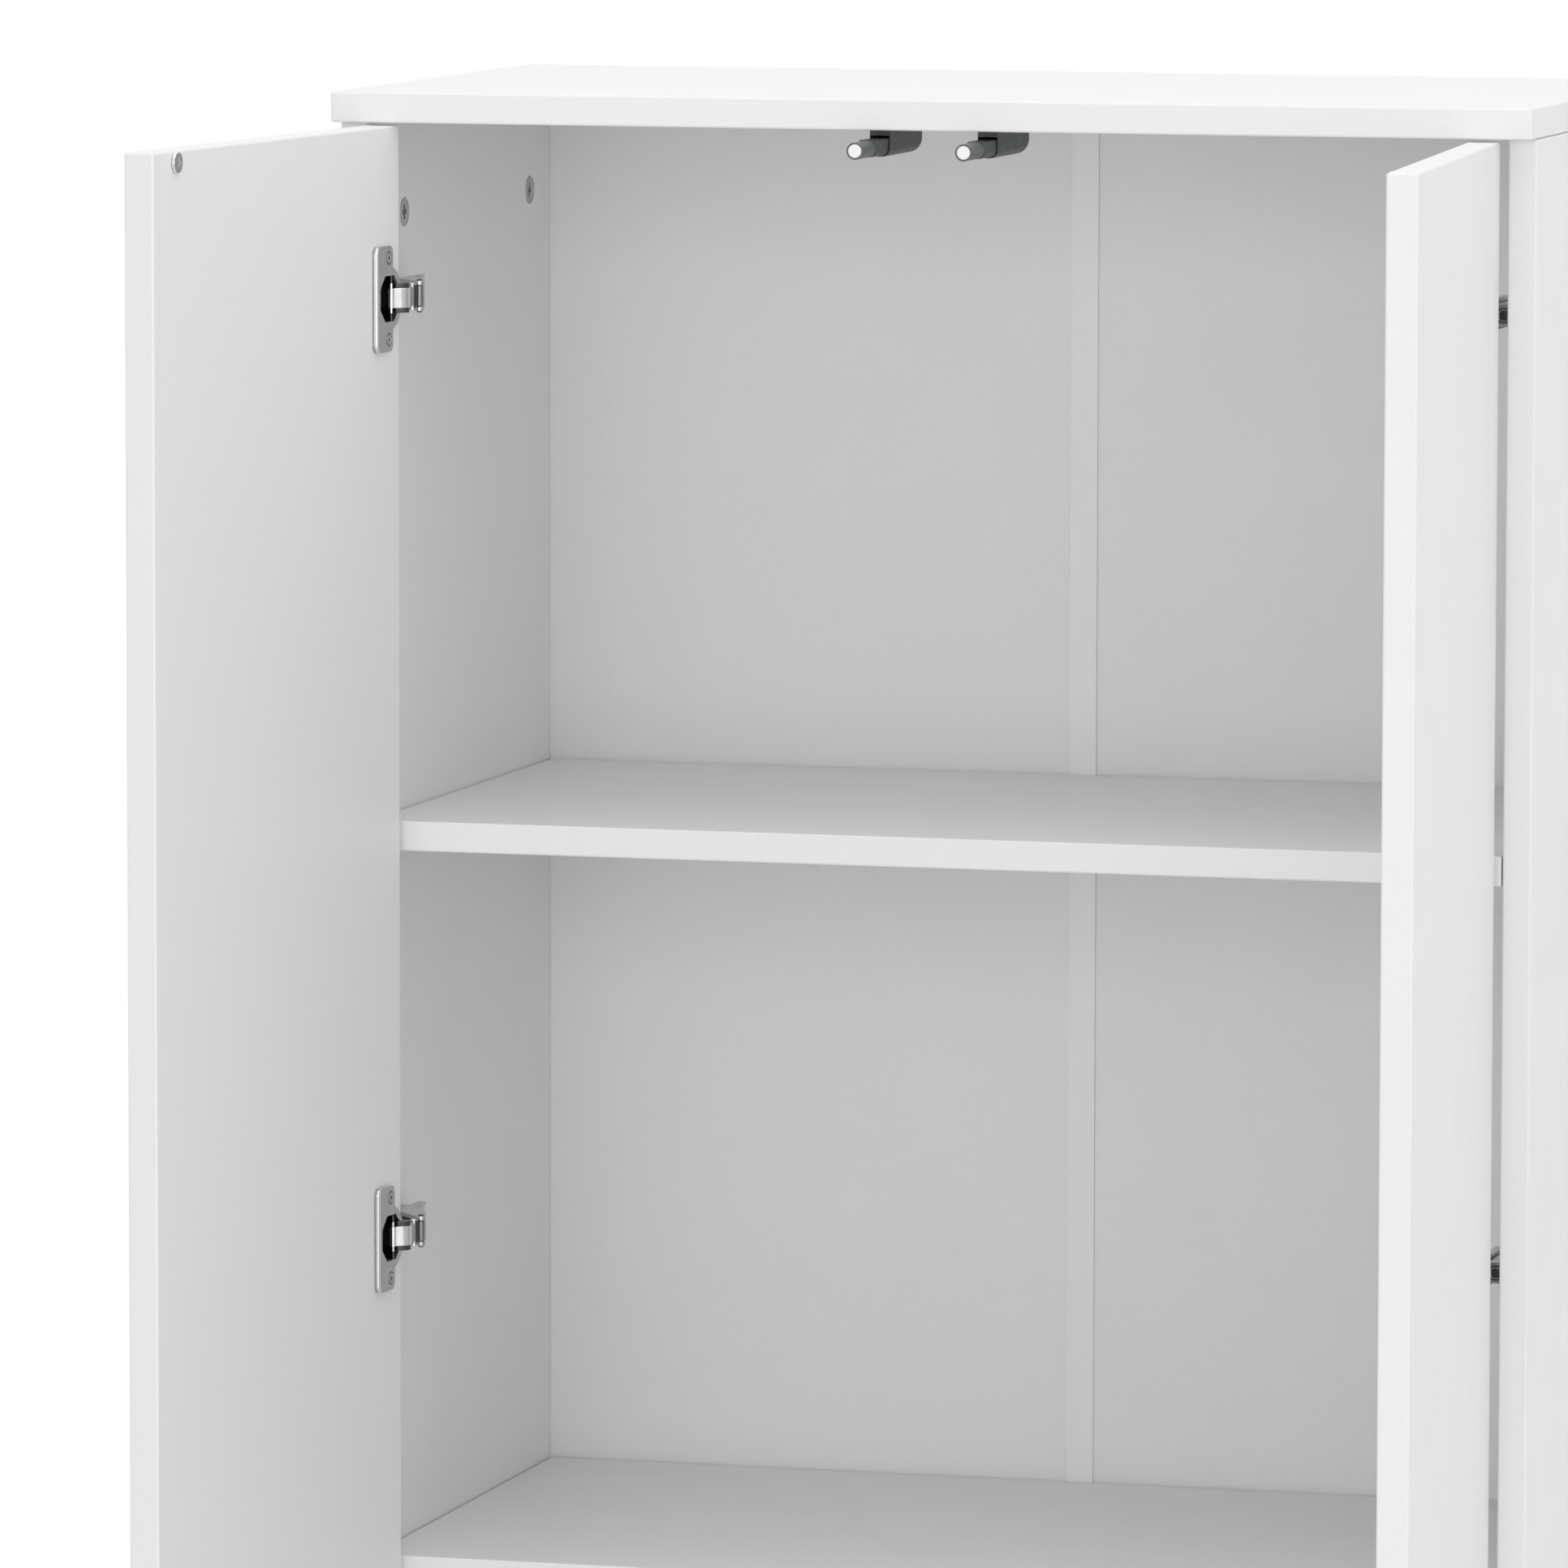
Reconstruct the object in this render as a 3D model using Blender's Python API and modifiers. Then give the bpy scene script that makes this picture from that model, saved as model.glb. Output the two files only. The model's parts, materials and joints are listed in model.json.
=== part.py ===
"""File cupboard with two doors on concealed hinges, two shelves and push latches.

Units are metres, +Z is up and the front faces -Y.  The origin is on the floor, in the middle of the
cupboard's box with both doors standing open, which is the rest pose.
Plan places in the hinge sections are measured for either side: x from the side panel's inner face
towards the middle, y from the side panel's front edge towards the back.
"""

import math

import bmesh
import bpy
from mathutils import Matrix, Vector

# Boards
TOP_WIDTH = 0.643
TOP_DEPTH = 0.356
BOARD = 0.016
SIDE_BOARD = 0.015
SIDE_INSET = 0.0003
TOP_OVERHANG = 0.0165
EDGE_ROUND = 0.0010
SEAT_GAP = 0.0003

# Compartment heights, from the top down, and the plinth under them
CLEAR_UPPER = 0.3698
CLEAR_MIDDLE = 0.3778
CLEAR_LOWER = 0.3778
PLINTH_HEIGHT = 0.0606
PLINTH_RECESS = 0.040

# Back in two sheets, with the strip that joins them
BACK_SHEET = 0.003
BACK_SET_IN = 0.0054
BACK_GROOVE = 0.006
STRIP_WIDTH = 0.015
STRIP_FLANGE = 0.0010
STRIP_WEB = 0.0012

# Shelves and the pins under them
SHELF_SET_BACK = 0.0004
SHELF_END_GAP = 0.0008
SHELF_REAR_GAP = 0.0006
SHELF_PIN_RADIUS = 0.0025
SHELF_PIN_OUT = 0.009
SHELF_PIN_IN = 0.008
SHELF_PIN_FRONT = 0.060
SHELF_PIN_REAR = 0.050

# Doors, shut against the side panels and standing open
DOOR_TOP_GAP = 0.0015
DOOR_REVEAL = 0.0007
DOOR_MIDDLE_GAP = 0.002
DOOR_GAP = 0.0034
OPEN_ANGLE = math.radians(95)
OPEN_CORNER_IN = 0.01926
OPEN_CORNER_AHEAD = 0.00647

# Hinge heights on the door: the pitch is from the upper hinge to the middle one
HINGE_FROM_DOOR_TOP = 0.0901
HINGE_FROM_DOOR_BOTTOM = 0.0876
HINGE_PITCH = 0.4971

# Hinge cup in the door, with its wings and pin
CUP_CENTRE = 0.0200
CUP_RADIUS = 0.0158
CUP_DEPTH = 0.011
CUP_FLOOR = 0.0015
RIM_RADIUS = 0.0165
RIM_SEAT = 0.0005
RIM_PROUD = 0.0024
WING_START = 0.0150
WING_END = 0.0368
WING_HEIGHT = 0.0558
WING_CORNER = 0.004
WING_PROUD = 0.0028
WING_EDGE = 0.0008
MOUTH_START = 0.0075
MOUTH_END = 0.0322
MOUTH_HEIGHT = 0.024
MOUTH_CORNER = 0.0065
PIN_FROM_EDGE = 0.0160
PIN_PROUD = 0.0020
CUP_PIN_RADIUS = 0.0009
EAR_HALF_WIDTH = 0.0012
EAR_LENGTH = 0.0024
CUP_SCREW_PITCH = 0.0430
CUP_SCREW_FROM_EDGE = 0.0206
SCREW_HEAD_RADIUS = 0.0032
SCREW_HEAD_PROUD = 0.0003

# Hinge link between the cup's pin and the arm's pin
LINK_REACH = 0.0220
LINK_HEIGHT = 0.0104
LINK_HALF_THICKNESS = 0.0008
LINK_CUP_EYE = 0.0017
LINK_ARM_EYE = 0.0026
PIN_FIT = 0.00015

# Hinge arm and the plate that carries it on the side panel
ARM_PIN_RADIUS = 0.0015
ARM_HEIGHT = 0.0160
ARM_NOSE = 0.0032
ARM_SLOT_FIT = 0.0004
ARM_FRONT = 0.016
ARM_SLOPE_END = 0.038
ARM_REAR = 0.055
ARM_TAIL = 0.0045
ARM_EDGE = 0.0005
PLATE_SPINE = 0.009
PLATE_SPINE_HEIGHT = 0.012
PLATE_WING = 0.0025
PLATE_WING_HEIGHT = 0.048
PLATE_WING_FRONT = 0.030
PLATE_WING_REAR = 0.044
PLATE_SCREW_PITCH = 0.032

# Push latches under the top panel and the discs that meet them
LATCH_SPACING = 0.0580
LATCH_DROP = 0.0096
TIP_REACH = 0.0262
TIP_LENGTH = 0.0256
TIP_RADIUS = 0.0045
TIP_PAD_RADIUS = 0.0035
TIP_PAD_DEPTH = 0.0012
TIP_PAD_PROUD = 0.0002
LATCH_WIDTH = 0.0094
LATCH_HEIGHT = 0.0089
LATCH_ROUND = 0.0035
LATCH_FIT = 0.0003
LATCH_WALL = 0.0005
LATCH_SET_BACK = 0.0070
LATCH_HELD = 0.009
LATCH_SPRING_ROOM = 0.001
LATCH_END = 0.010
LATCH_REAR_RUN = 0.0125
LATCH_REAR_RISE = 0.0038
STRIKE_RADIUS = 0.0055
STRIKE_THICKNESS = 0.0014
STRIKE_FROM_DOOR_TOP = 0.0060

# Cam locks in the side panels and their bolts into the top panel
CAM_RADIUS = 0.0075
CAM_DEPTH = 0.012
CAM_PROUD = 0.0003
CAM_DROP = 0.051
CAM_FROM_FRONT = 0.0635
CAM_FROM_REAR = 0.047
BOLT_RADIUS = 0.003
BOLT_IN_TOP = 0.011
BOLT_PAST_CAM = 0.002

# Cross slots in round heads
CROSS_LENGTH = 0.0072
CROSS_WIDTH = 0.0015
CROSS_DEPTH = 0.0009
STRIKE_CROSS = 0.0046

# Smoothness of round shapes, and how far a cutter runs past what it cuts
ROUND_SIDES = 28
SMALL_SIDES = 12
CORNER_STEPS = 3
EDGE_STEPS = 2
METAL_EDGE_STEPS = 1
PAST = 0.002
WELD = 0.00001
SHARP = math.radians(35)
CUP_SOLVER = "MANIFOLD"

# Finishes: colour, roughness and metallic value
WHITE_BOARD = (0.86, 0.86, 0.86), 0.45, 0.0
WHITE_SHEET = (0.78, 0.78, 0.78), 0.55, 0.0
WHITE_PLASTIC = (0.84, 0.84, 0.84), 0.4, 0.0
GREY_PLASTIC = (0.075, 0.082, 0.083), 0.45, 0.0
CHROME = (0.75, 0.75, 0.75), 0.12, 1.0
STEEL = (0.45, 0.46, 0.46), 0.3, 1.0

# Heights above the floor
BOTTOM_TOP = PLINTH_HEIGHT + BOARD
LOWER_SHELF_TOP = BOTTOM_TOP + CLEAR_LOWER + BOARD
UPPER_SHELF_TOP = LOWER_SHELF_TOP + CLEAR_MIDDLE + BOARD
UNDERSIDE = UPPER_SHELF_TOP + CLEAR_UPPER
TOTAL_HEIGHT = UNDERSIDE + BOARD
DOOR_TOP = UNDERSIDE - DOOR_TOP_GAP
DOOR_BOTTOM = PLINTH_HEIGHT
UPPER_HINGE = DOOR_TOP - HINGE_FROM_DOOR_TOP
MIDDLE_HINGE = UPPER_HINGE - HINGE_PITCH
LOWER_HINGE = DOOR_BOTTOM + HINGE_FROM_DOOR_BOTTOM
LATCH_LEVEL = UNDERSIDE - LATCH_DROP
STRIKE_LEVEL = DOOR_TOP - STRIKE_FROM_DOOR_TOP
CAM_LEVEL = UNDERSIDE - CAM_DROP

# Widths from the middle
SIDE_OUTER = TOP_WIDTH / 2 - SIDE_INSET
INNER_HALF = SIDE_OUTER - SIDE_BOARD
DOOR_WIDTH = SIDE_OUTER - DOOR_REVEAL - DOOR_MIDDLE_GAP / 2

# Depths behind the side panels' front edge
SIDE_DEPTH = TOP_DEPTH - TOP_OVERHANG
BACK_REAR = SIDE_DEPTH - BACK_SET_IN
BACK_FRONT = BACK_REAR - BACK_SHEET
STRIP_FRONT = BACK_FRONT - SEAT_GAP - STRIP_FLANGE
SHELF_REAR = STRIP_FRONT - SHELF_REAR_GAP

SIDES = ("left", 1), ("right", -1)
HINGE_LEVELS = ("upper", UPPER_HINGE), ("middle", MIDDLE_HINGE), ("lower", LOWER_HINGE)


def on_door(corner, angle, along, proud):
    """Plan place of a point on the door: along its width, and proud of its inner face."""
    run = Vector((math.cos(angle), -math.sin(angle)))
    rise = Vector((math.sin(angle), math.cos(angle)))
    return corner + run * along + rise * proud


# The door's inner corner at the hinge edge, shut and open, and what follows from them
SHUT_CORNER = Vector((DOOR_REVEAL - SIDE_BOARD, -DOOR_GAP))
OPEN_CORNER = Vector((OPEN_CORNER_IN, -OPEN_CORNER_AHEAD))
CUP_PIN_SHUT = on_door(SHUT_CORNER, 0.0, PIN_FROM_EDGE, PIN_PROUD)
CUP_PIN = on_door(OPEN_CORNER, OPEN_ANGLE, PIN_FROM_EDGE, PIN_PROUD)
PIN_TRAVEL = CUP_PIN - CUP_PIN_SHUT
ARM_PIN = (CUP_PIN + CUP_PIN_SHUT) / 2 + Vector((-PIN_TRAVEL.y, PIN_TRAVEL.x)).normalized() * LINK_REACH
DOOR_REACH = min(on_door(OPEN_CORNER, OPEN_ANGLE, DOOR_WIDTH, proud).y for proud in (0.0, -BOARD))

# The side panels' front edge, set so that the whole box is centred on the origin
SIDE_FRONT = -(SIDE_DEPTH + DOOR_REACH) / 2
TOP_FRONT = SIDE_FRONT - TOP_OVERHANG

# The latch's travel, from its tip standing out to the strike disc on the shut door
LATCH_TRAVEL = TIP_REACH + TIP_PAD_PROUD + TOP_OVERHANG - DOOR_GAP + STRIKE_THICKNESS + 2 * SEAT_GAP
LATCH_FRONT = SIDE_FRONT + LATCH_SET_BACK
LATCH_ROOM_REAR = LATCH_FRONT + LATCH_HELD + LATCH_TRAVEL + LATCH_SPRING_ROOM
LATCH_REAR = LATCH_ROOM_REAR + LATCH_END


def new_collection(name):
    """A collection in the scene."""
    made = bpy.data.collections.new(name)
    bpy.context.scene.collection.children.link(made)
    return made


for old in list(bpy.data.objects):
    bpy.data.objects.remove(old)
PARTS = new_collection("file_cupboard")
CUTTERS = new_collection("cutters")


def block(corner, opposite):
    """A box between two opposite corners."""
    shape = bmesh.new()
    bmesh.ops.create_cube(shape, size=1.0)
    size = [abs(b - a) for a, b in zip(corner, opposite)]
    middle = [(a + b) / 2 for a, b in zip(corner, opposite)]
    bmesh.ops.scale(shape, vec=size, verts=shape.verts)
    bmesh.ops.translate(shape, vec=middle, verts=shape.verts)
    return shape


def rod(start, end, radius, sides=ROUND_SIDES):
    """A round bar between two points."""
    shape = bmesh.new()
    axis = Vector(end) - Vector(start)
    bmesh.ops.create_cone(
        shape, cap_ends=True, segments=sides, radius1=radius, radius2=radius, depth=axis.length
    )
    turn = Vector((0, 0, 1)).rotation_difference(axis).to_matrix().to_4x4()
    move = Matrix.Translation((Vector(start) + Vector(end)) / 2)
    bmesh.ops.transform(shape, matrix=move @ turn, verts=shape.verts)
    return shape


def arc(centre, radius, first, last, steps=CORNER_STEPS):
    """Points along an arc, its angles in degrees."""
    points = []
    for step in range(steps + 1):
        angle = math.radians(first + (last - first) * step / steps)
        points.append((centre[0] + radius * math.cos(angle), centre[1] + radius * math.sin(angle)))
    return points


def circle(centre, radius, sides=SMALL_SIDES):
    """Points round a full circle."""
    return arc(centre, radius, 0, 360, sides)[:-1]


def plate(outline, low, high, holes=(), axes=Matrix.Identity(4)):
    """A flat outline made thick from low to high, turned by axes."""
    curve = bpy.data.curves.new("outline", "CURVE")
    curve.dimensions = "2D"
    curve.fill_mode = "BOTH"
    curve.extrude = (high - low) / 2
    for loop in (outline, *holes):
        spline = curve.splines.new("POLY")
        spline.points.add(len(loop) - 1)
        for point, place in zip(spline.points, loop):
            point.co = (place[0], place[1], 0.0, 1.0)
        spline.use_cyclic_u = True
    holder = bpy.data.objects.new("outline", curve)
    CUTTERS.objects.link(holder)
    mesh = bpy.data.meshes.new_from_object(holder.evaluated_get(bpy.context.evaluated_depsgraph_get()))
    shape = bmesh.new()
    shape.from_mesh(mesh)
    bmesh.ops.remove_doubles(shape, verts=shape.verts, dist=WELD)
    bmesh.ops.translate(shape, vec=(0, 0, (low + high) / 2), verts=shape.verts)
    bmesh.ops.transform(shape, matrix=axes, verts=shape.verts)
    bmesh.ops.recalc_face_normals(shape, faces=shape.faces)
    bpy.data.objects.remove(holder)
    bpy.data.meshes.remove(mesh)
    return shape


# Outlines drawn across the cupboard run along -Y, and outlines drawn front to back run along X
ACROSS = Matrix(((1, 0, 0, 0), (0, 0, -1, 0), (0, 1, 0, 0), (0, 0, 0, 1)))
ENDWAYS = Matrix(((0, 0, 1, 0), (1, 0, 0, 0), (0, 1, 0, 0), (0, 0, 0, 1)))


def finish_material(name, finish):
    """The piece's own material."""
    colour, roughness, metallic = finish
    material = bpy.data.materials.new(name)
    material.use_nodes = True
    shader = material.node_tree.nodes["Principled BSDF"]
    shader.inputs["Base Color"].default_value = (*colour, 1.0)
    shader.inputs["Roughness"].default_value = roughness
    shader.inputs["Metallic"].default_value = metallic
    return material


def to_object(name, shape, collection, parent=None):
    """A shape as an object in a collection."""
    mesh = bpy.data.meshes.new(name)
    shape.to_mesh(mesh)
    shape.free()
    made = bpy.data.objects.new(name, mesh)
    made.parent = parent
    collection.objects.link(made)
    return made


def piece(name, shape, finish, parent=None):
    """A sub-part with its own material, shaded smooth between its sharp edges."""
    made = to_object(name, shape, PARTS, parent)
    made.data.materials.append(finish_material(name, finish))
    made.data.shade_smooth()
    made.data.set_sharp_from_angle(angle=SHARP)
    return made


def round_edges(target, width, steps=EDGE_STEPS):
    """Soft edges on a piece, before anything is cut or joined."""
    bevel = target.modifiers.new("soft_edges", "BEVEL")
    bevel.width = width
    bevel.segments = steps
    bevel.limit_method = "ANGLE"
    bevel.angle_limit = SHARP
    return target


def combine(target, operation, shapes, solver="EXACT"):
    """Cut, join or keep only what the shapes cover."""
    for shape in shapes:
        tool = to_object(f"{target.name}_tool", shape, CUTTERS, target.parent)
        tool.hide_render = True
        tool.display_type = "WIRE"
        boolean = target.modifiers.new(operation.lower(), "BOOLEAN")
        boolean.solver = solver
        boolean.operation = operation
        boolean.object = tool
    return target


def cut(target, *shapes, solver="EXACT"):
    """Shapes taken out of a piece."""
    return combine(target, "DIFFERENCE", shapes, solver)


def join(target, *shapes, solver="EXACT"):
    """Shapes made one with a piece."""
    return combine(target, "UNION", shapes, solver)


def board(name, corner, opposite, finish=WHITE_BOARD, parent=None):
    """A flat board with soft edges."""
    return round_edges(piece(name, block(corner, opposite), finish, parent), EDGE_ROUND)


def axis_empty(name, place, angle=0.0, parent=None):
    """A joint axis, as an empty that carries what moves on it."""
    empty = bpy.data.objects.new(name, None)
    empty.location = place
    empty.rotation_euler = (0.0, 0.0, angle)
    empty.parent = parent
    PARTS.objects.link(empty)
    return empty


def plan(hand, place, level):
    """World place of a plan point on the left (hand 1) or right (hand -1) side."""
    return Vector((hand * (place[0] - INNER_HALF), SIDE_FRONT + place[1], level))


def cross(middle, length, face_axis):
    """The two bars of a cross slot, sunk into a round head along one axis."""
    bars = []
    others = [axis for axis in range(3) if axis != face_axis]
    for long_axis, short_axis in (others, others[::-1]):
        half = [0.0, 0.0, 0.0]
        half[long_axis] = length / 2
        half[short_axis] = CROSS_WIDTH / 2
        half[face_axis] = CROSS_DEPTH
        low = [a - b for a, b in zip(middle, half)]
        high = [a + b for a, b in zip(middle, half)]
        bars.append(block(low, high))
    return bars


def shelf_pin_places(shelf_top):
    """Plan depth and level of the pins under one shelf."""
    level = shelf_top - BOARD - SEAT_GAP - SHELF_PIN_RADIUS
    return ("front", SHELF_PIN_FRONT, level), ("rear", SHELF_REAR - SHELF_PIN_REAR, level)


CAM_DEPTHS = ("front", CAM_FROM_FRONT), ("rear", SIDE_DEPTH - CAM_FROM_REAR)
SHELVES = ("upper", UPPER_SHELF_TOP), ("lower", LOWER_SHELF_TOP)


def bolt_ends(hand, depth):
    """Lower and upper end of a cam lock's bolt."""
    middle = (-SIDE_BOARD / 2, depth)
    return plan(hand, middle, CAM_LEVEL - BOLT_PAST_CAM), plan(hand, middle, UNDERSIDE + BOLT_IN_TOP)


def bolt_bore(hand, depth):
    """Room for a bolt, a seat gap wider and longer than it is."""
    low, high = bolt_ends(hand, depth)
    spare = Vector((0, 0, SEAT_GAP))
    return rod(low - spare, high + spare, BOLT_RADIUS + SEAT_GAP, SMALL_SIDES)


def groove(inner_end, outer_end, low, high):
    """The groove that the back sheets sit in."""
    front = SIDE_FRONT + BACK_FRONT - SEAT_GAP
    rear = SIDE_FRONT + BACK_REAR + SEAT_GAP
    return block((inner_end, front, low), (outer_end, rear, high))


def top_panel():
    """The top, over the sides and the shut doors."""
    low = (-TOP_WIDTH / 2, TOP_FRONT, UNDERSIDE)
    high = (TOP_WIDTH / 2, TOP_FRONT + TOP_DEPTH, TOTAL_HEIGHT)
    panel = board("top_panel", low, high)
    half = INNER_HALF + BACK_GROOVE
    cut(panel, groove(-half, half, UNDERSIDE - PAST, UNDERSIDE + BACK_GROOVE))
    for _, hand in SIDES:
        cut(panel, *(bolt_bore(hand, depth) for _, depth in CAM_DEPTHS))


def side_panel(side, hand):
    """A side, down to the floor, bored for its cam locks, bolts and shelf pins."""
    low = plan(hand, (-SIDE_BOARD, 0), 0.0)
    high = plan(hand, (0, SIDE_DEPTH), UNDERSIDE - SEAT_GAP)
    panel = board(f"side_panel_{side}", low, high)
    inner = hand * (PAST - INNER_HALF)
    outer = hand * (-BACK_GROOVE - INNER_HALF)
    cut(panel, groove(inner, outer, PLINTH_HEIGHT - SEAT_GAP, UNDERSIDE + PAST))
    for _, depth in CAM_DEPTHS:
        floor = plan(hand, (-CAM_DEPTH - SEAT_GAP, depth), CAM_LEVEL)
        cut(panel, rod(floor, plan(hand, (PAST, depth), CAM_LEVEL), CAM_RADIUS + SEAT_GAP))
        cut(panel, bolt_bore(hand, depth))
    for _, shelf_top in SHELVES:
        for _, depth, level in shelf_pin_places(shelf_top):
            floor = plan(hand, (-SHELF_PIN_IN - SEAT_GAP, depth), level)
            mouth = plan(hand, (PAST, depth), level)
            cut(panel, rod(floor, mouth, SHELF_PIN_RADIUS + SEAT_GAP, SMALL_SIDES))


def cam_lock(side, hand, place, depth):
    """A round cam lock in the side panel, with a cross slot and a way in for its bolt."""
    floor = plan(hand, (-CAM_DEPTH, depth), CAM_LEVEL)
    face = plan(hand, (CAM_PROUD, depth), CAM_LEVEL)
    lock = piece(f"cam_lock_{side}_{place}", rod(floor, face, CAM_RADIUS), STEEL)
    cut(lock, *cross(face, CROSS_LENGTH, 0), bolt_bore(hand, depth))
    low, high = bolt_ends(hand, depth)
    piece(f"cam_bolt_{side}_{place}", rod(low, high, BOLT_RADIUS, SMALL_SIDES), STEEL)


def shelf(name, shelf_top):
    """An adjustable shelf on four pins."""
    half = INNER_HALF - SHELF_END_GAP
    front = SIDE_FRONT + SHELF_SET_BACK
    board(f"shelf_{name}", (-half, front, shelf_top - BOARD), (half, SIDE_FRONT + SHELF_REAR, shelf_top))
    for side, hand in SIDES:
        for place, depth, level in shelf_pin_places(shelf_top):
            root = plan(hand, (-SHELF_PIN_IN, depth), level)
            end = plan(hand, (SHELF_PIN_OUT, depth), level)
            pin = rod(root, end, SHELF_PIN_RADIUS, SMALL_SIDES)
            piece(f"shelf_pin_{name}_{side}_{place}", pin, STEEL)


def base():
    """The bottom panel between the sides, and the plinth that stands back under it."""
    half = INNER_HALF - SEAT_GAP
    low = (-half, SIDE_FRONT + SHELF_SET_BACK, PLINTH_HEIGHT)
    board("bottom_panel", low, (half, SIDE_FRONT + SHELF_REAR, BOTTOM_TOP))
    front = SIDE_FRONT + PLINTH_RECESS
    board("plinth", (-half, front, 0.0), (half, front + BOARD, PLINTH_HEIGHT - SEAT_GAP))


def back():
    """Two sheets in the grooves, held together in the middle by an H-shaped strip."""
    outer = INNER_HALF + BACK_GROOVE - SEAT_GAP
    inner = STRIP_WEB / 2 + SEAT_GAP
    sheet_top = UNDERSIDE + BACK_GROOVE - SEAT_GAP
    for side, hand in SIDES:
        low = (-hand * outer, SIDE_FRONT + BACK_FRONT, PLINTH_HEIGHT)
        high = (-hand * inner, SIDE_FRONT + BACK_REAR, sheet_top)
        piece(f"back_sheet_{side}", block(low, high), WHITE_SHEET)
    front = SIDE_FRONT + STRIP_FRONT
    rear = SIDE_FRONT + BACK_REAR + SEAT_GAP
    half = STRIP_WIDTH / 2
    low, high = PLINTH_HEIGHT, UNDERSIDE - SEAT_GAP
    flange = block((-half, front, low), (half, front + STRIP_FLANGE, high))
    strip = piece("back_joint_strip", flange, WHITE_PLASTIC)
    web = STRIP_WEB / 2
    inside = STRIP_FLANGE / 2
    join(
        strip,
        block((-web, front + inside, low), (web, rear + inside, high)),
        block((-half, rear, low), (half, rear + STRIP_FLANGE, high)),
    )


def door_point(hand, along, proud, level):
    """A point on the door, in the space of its axis at the cup pins."""
    return Vector((hand * (along - PIN_FROM_EDGE), proud - PIN_PROUD, level))


def door(side, hand, axis):
    """A door board with the holes for its hinge cups."""
    low = door_point(hand, 0, -BOARD, DOOR_BOTTOM)
    high = door_point(hand, DOOR_WIDTH, 0, DOOR_TOP)
    panel = board(f"door_{side}", low, high, parent=axis)
    for _, level in HINGE_LEVELS:
        floor = door_point(hand, CUP_CENTRE, -CUP_DEPTH - SEAT_GAP, level)
        mouth = door_point(hand, CUP_CENTRE, PAST, level)
        cut(panel, rod(floor, mouth, CUP_RADIUS + SEAT_GAP))


def strike_disc(side, hand, axis):
    """The disc on the door that the push latch's tip meets, with its screw's cross slot."""
    along = DOOR_WIDTH - (LATCH_SPACING - DOOR_MIDDLE_GAP) / 2
    seat = door_point(hand, along, SEAT_GAP, STRIKE_LEVEL)
    face = door_point(hand, along, SEAT_GAP + STRIKE_THICKNESS, STRIKE_LEVEL)
    disc = piece(f"strike_disc_{side}", rod(seat, face, STRIKE_RADIUS), STEEL, axis)
    cut(disc, *cross(face, STRIKE_CROSS, 1))


def wing_outline():
    """Outline of the cup's wings, seen on the door's inner face."""
    left, right = WING_START + WING_CORNER, WING_END - WING_CORNER
    top = WING_HEIGHT / 2 - WING_CORNER
    return [
        *arc((right, top), WING_CORNER, 0, 90),
        *arc((left, top), WING_CORNER, 90, 180),
        *arc((left, -top), WING_CORNER, 180, 270),
        *arc((right, -top), WING_CORNER, 270, 360),
    ]


def mouth_outline():
    """Eight-sided outline of the cup's opening."""
    top = MOUTH_HEIGHT / 2
    side = top - MOUTH_CORNER
    start, end = MOUTH_START + MOUTH_CORNER, MOUTH_END - MOUTH_CORNER
    upper = [(MOUTH_START, side), (start, top), (end, top), (MOUTH_END, side)]
    return upper + [(along, -height) for along, height in reversed(upper)]


def on_face(hand, level):
    """Turns an outline drawn on the door's inner face, its thickness proud of that face."""
    shift = door_point(hand, 0, 0, level)
    return Matrix.Translation(shift) @ Matrix(((hand, 0, 0, 0), (0, 0, 1, 0), (0, 1, 0, 0), (0, 0, 0, 1)))


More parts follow.
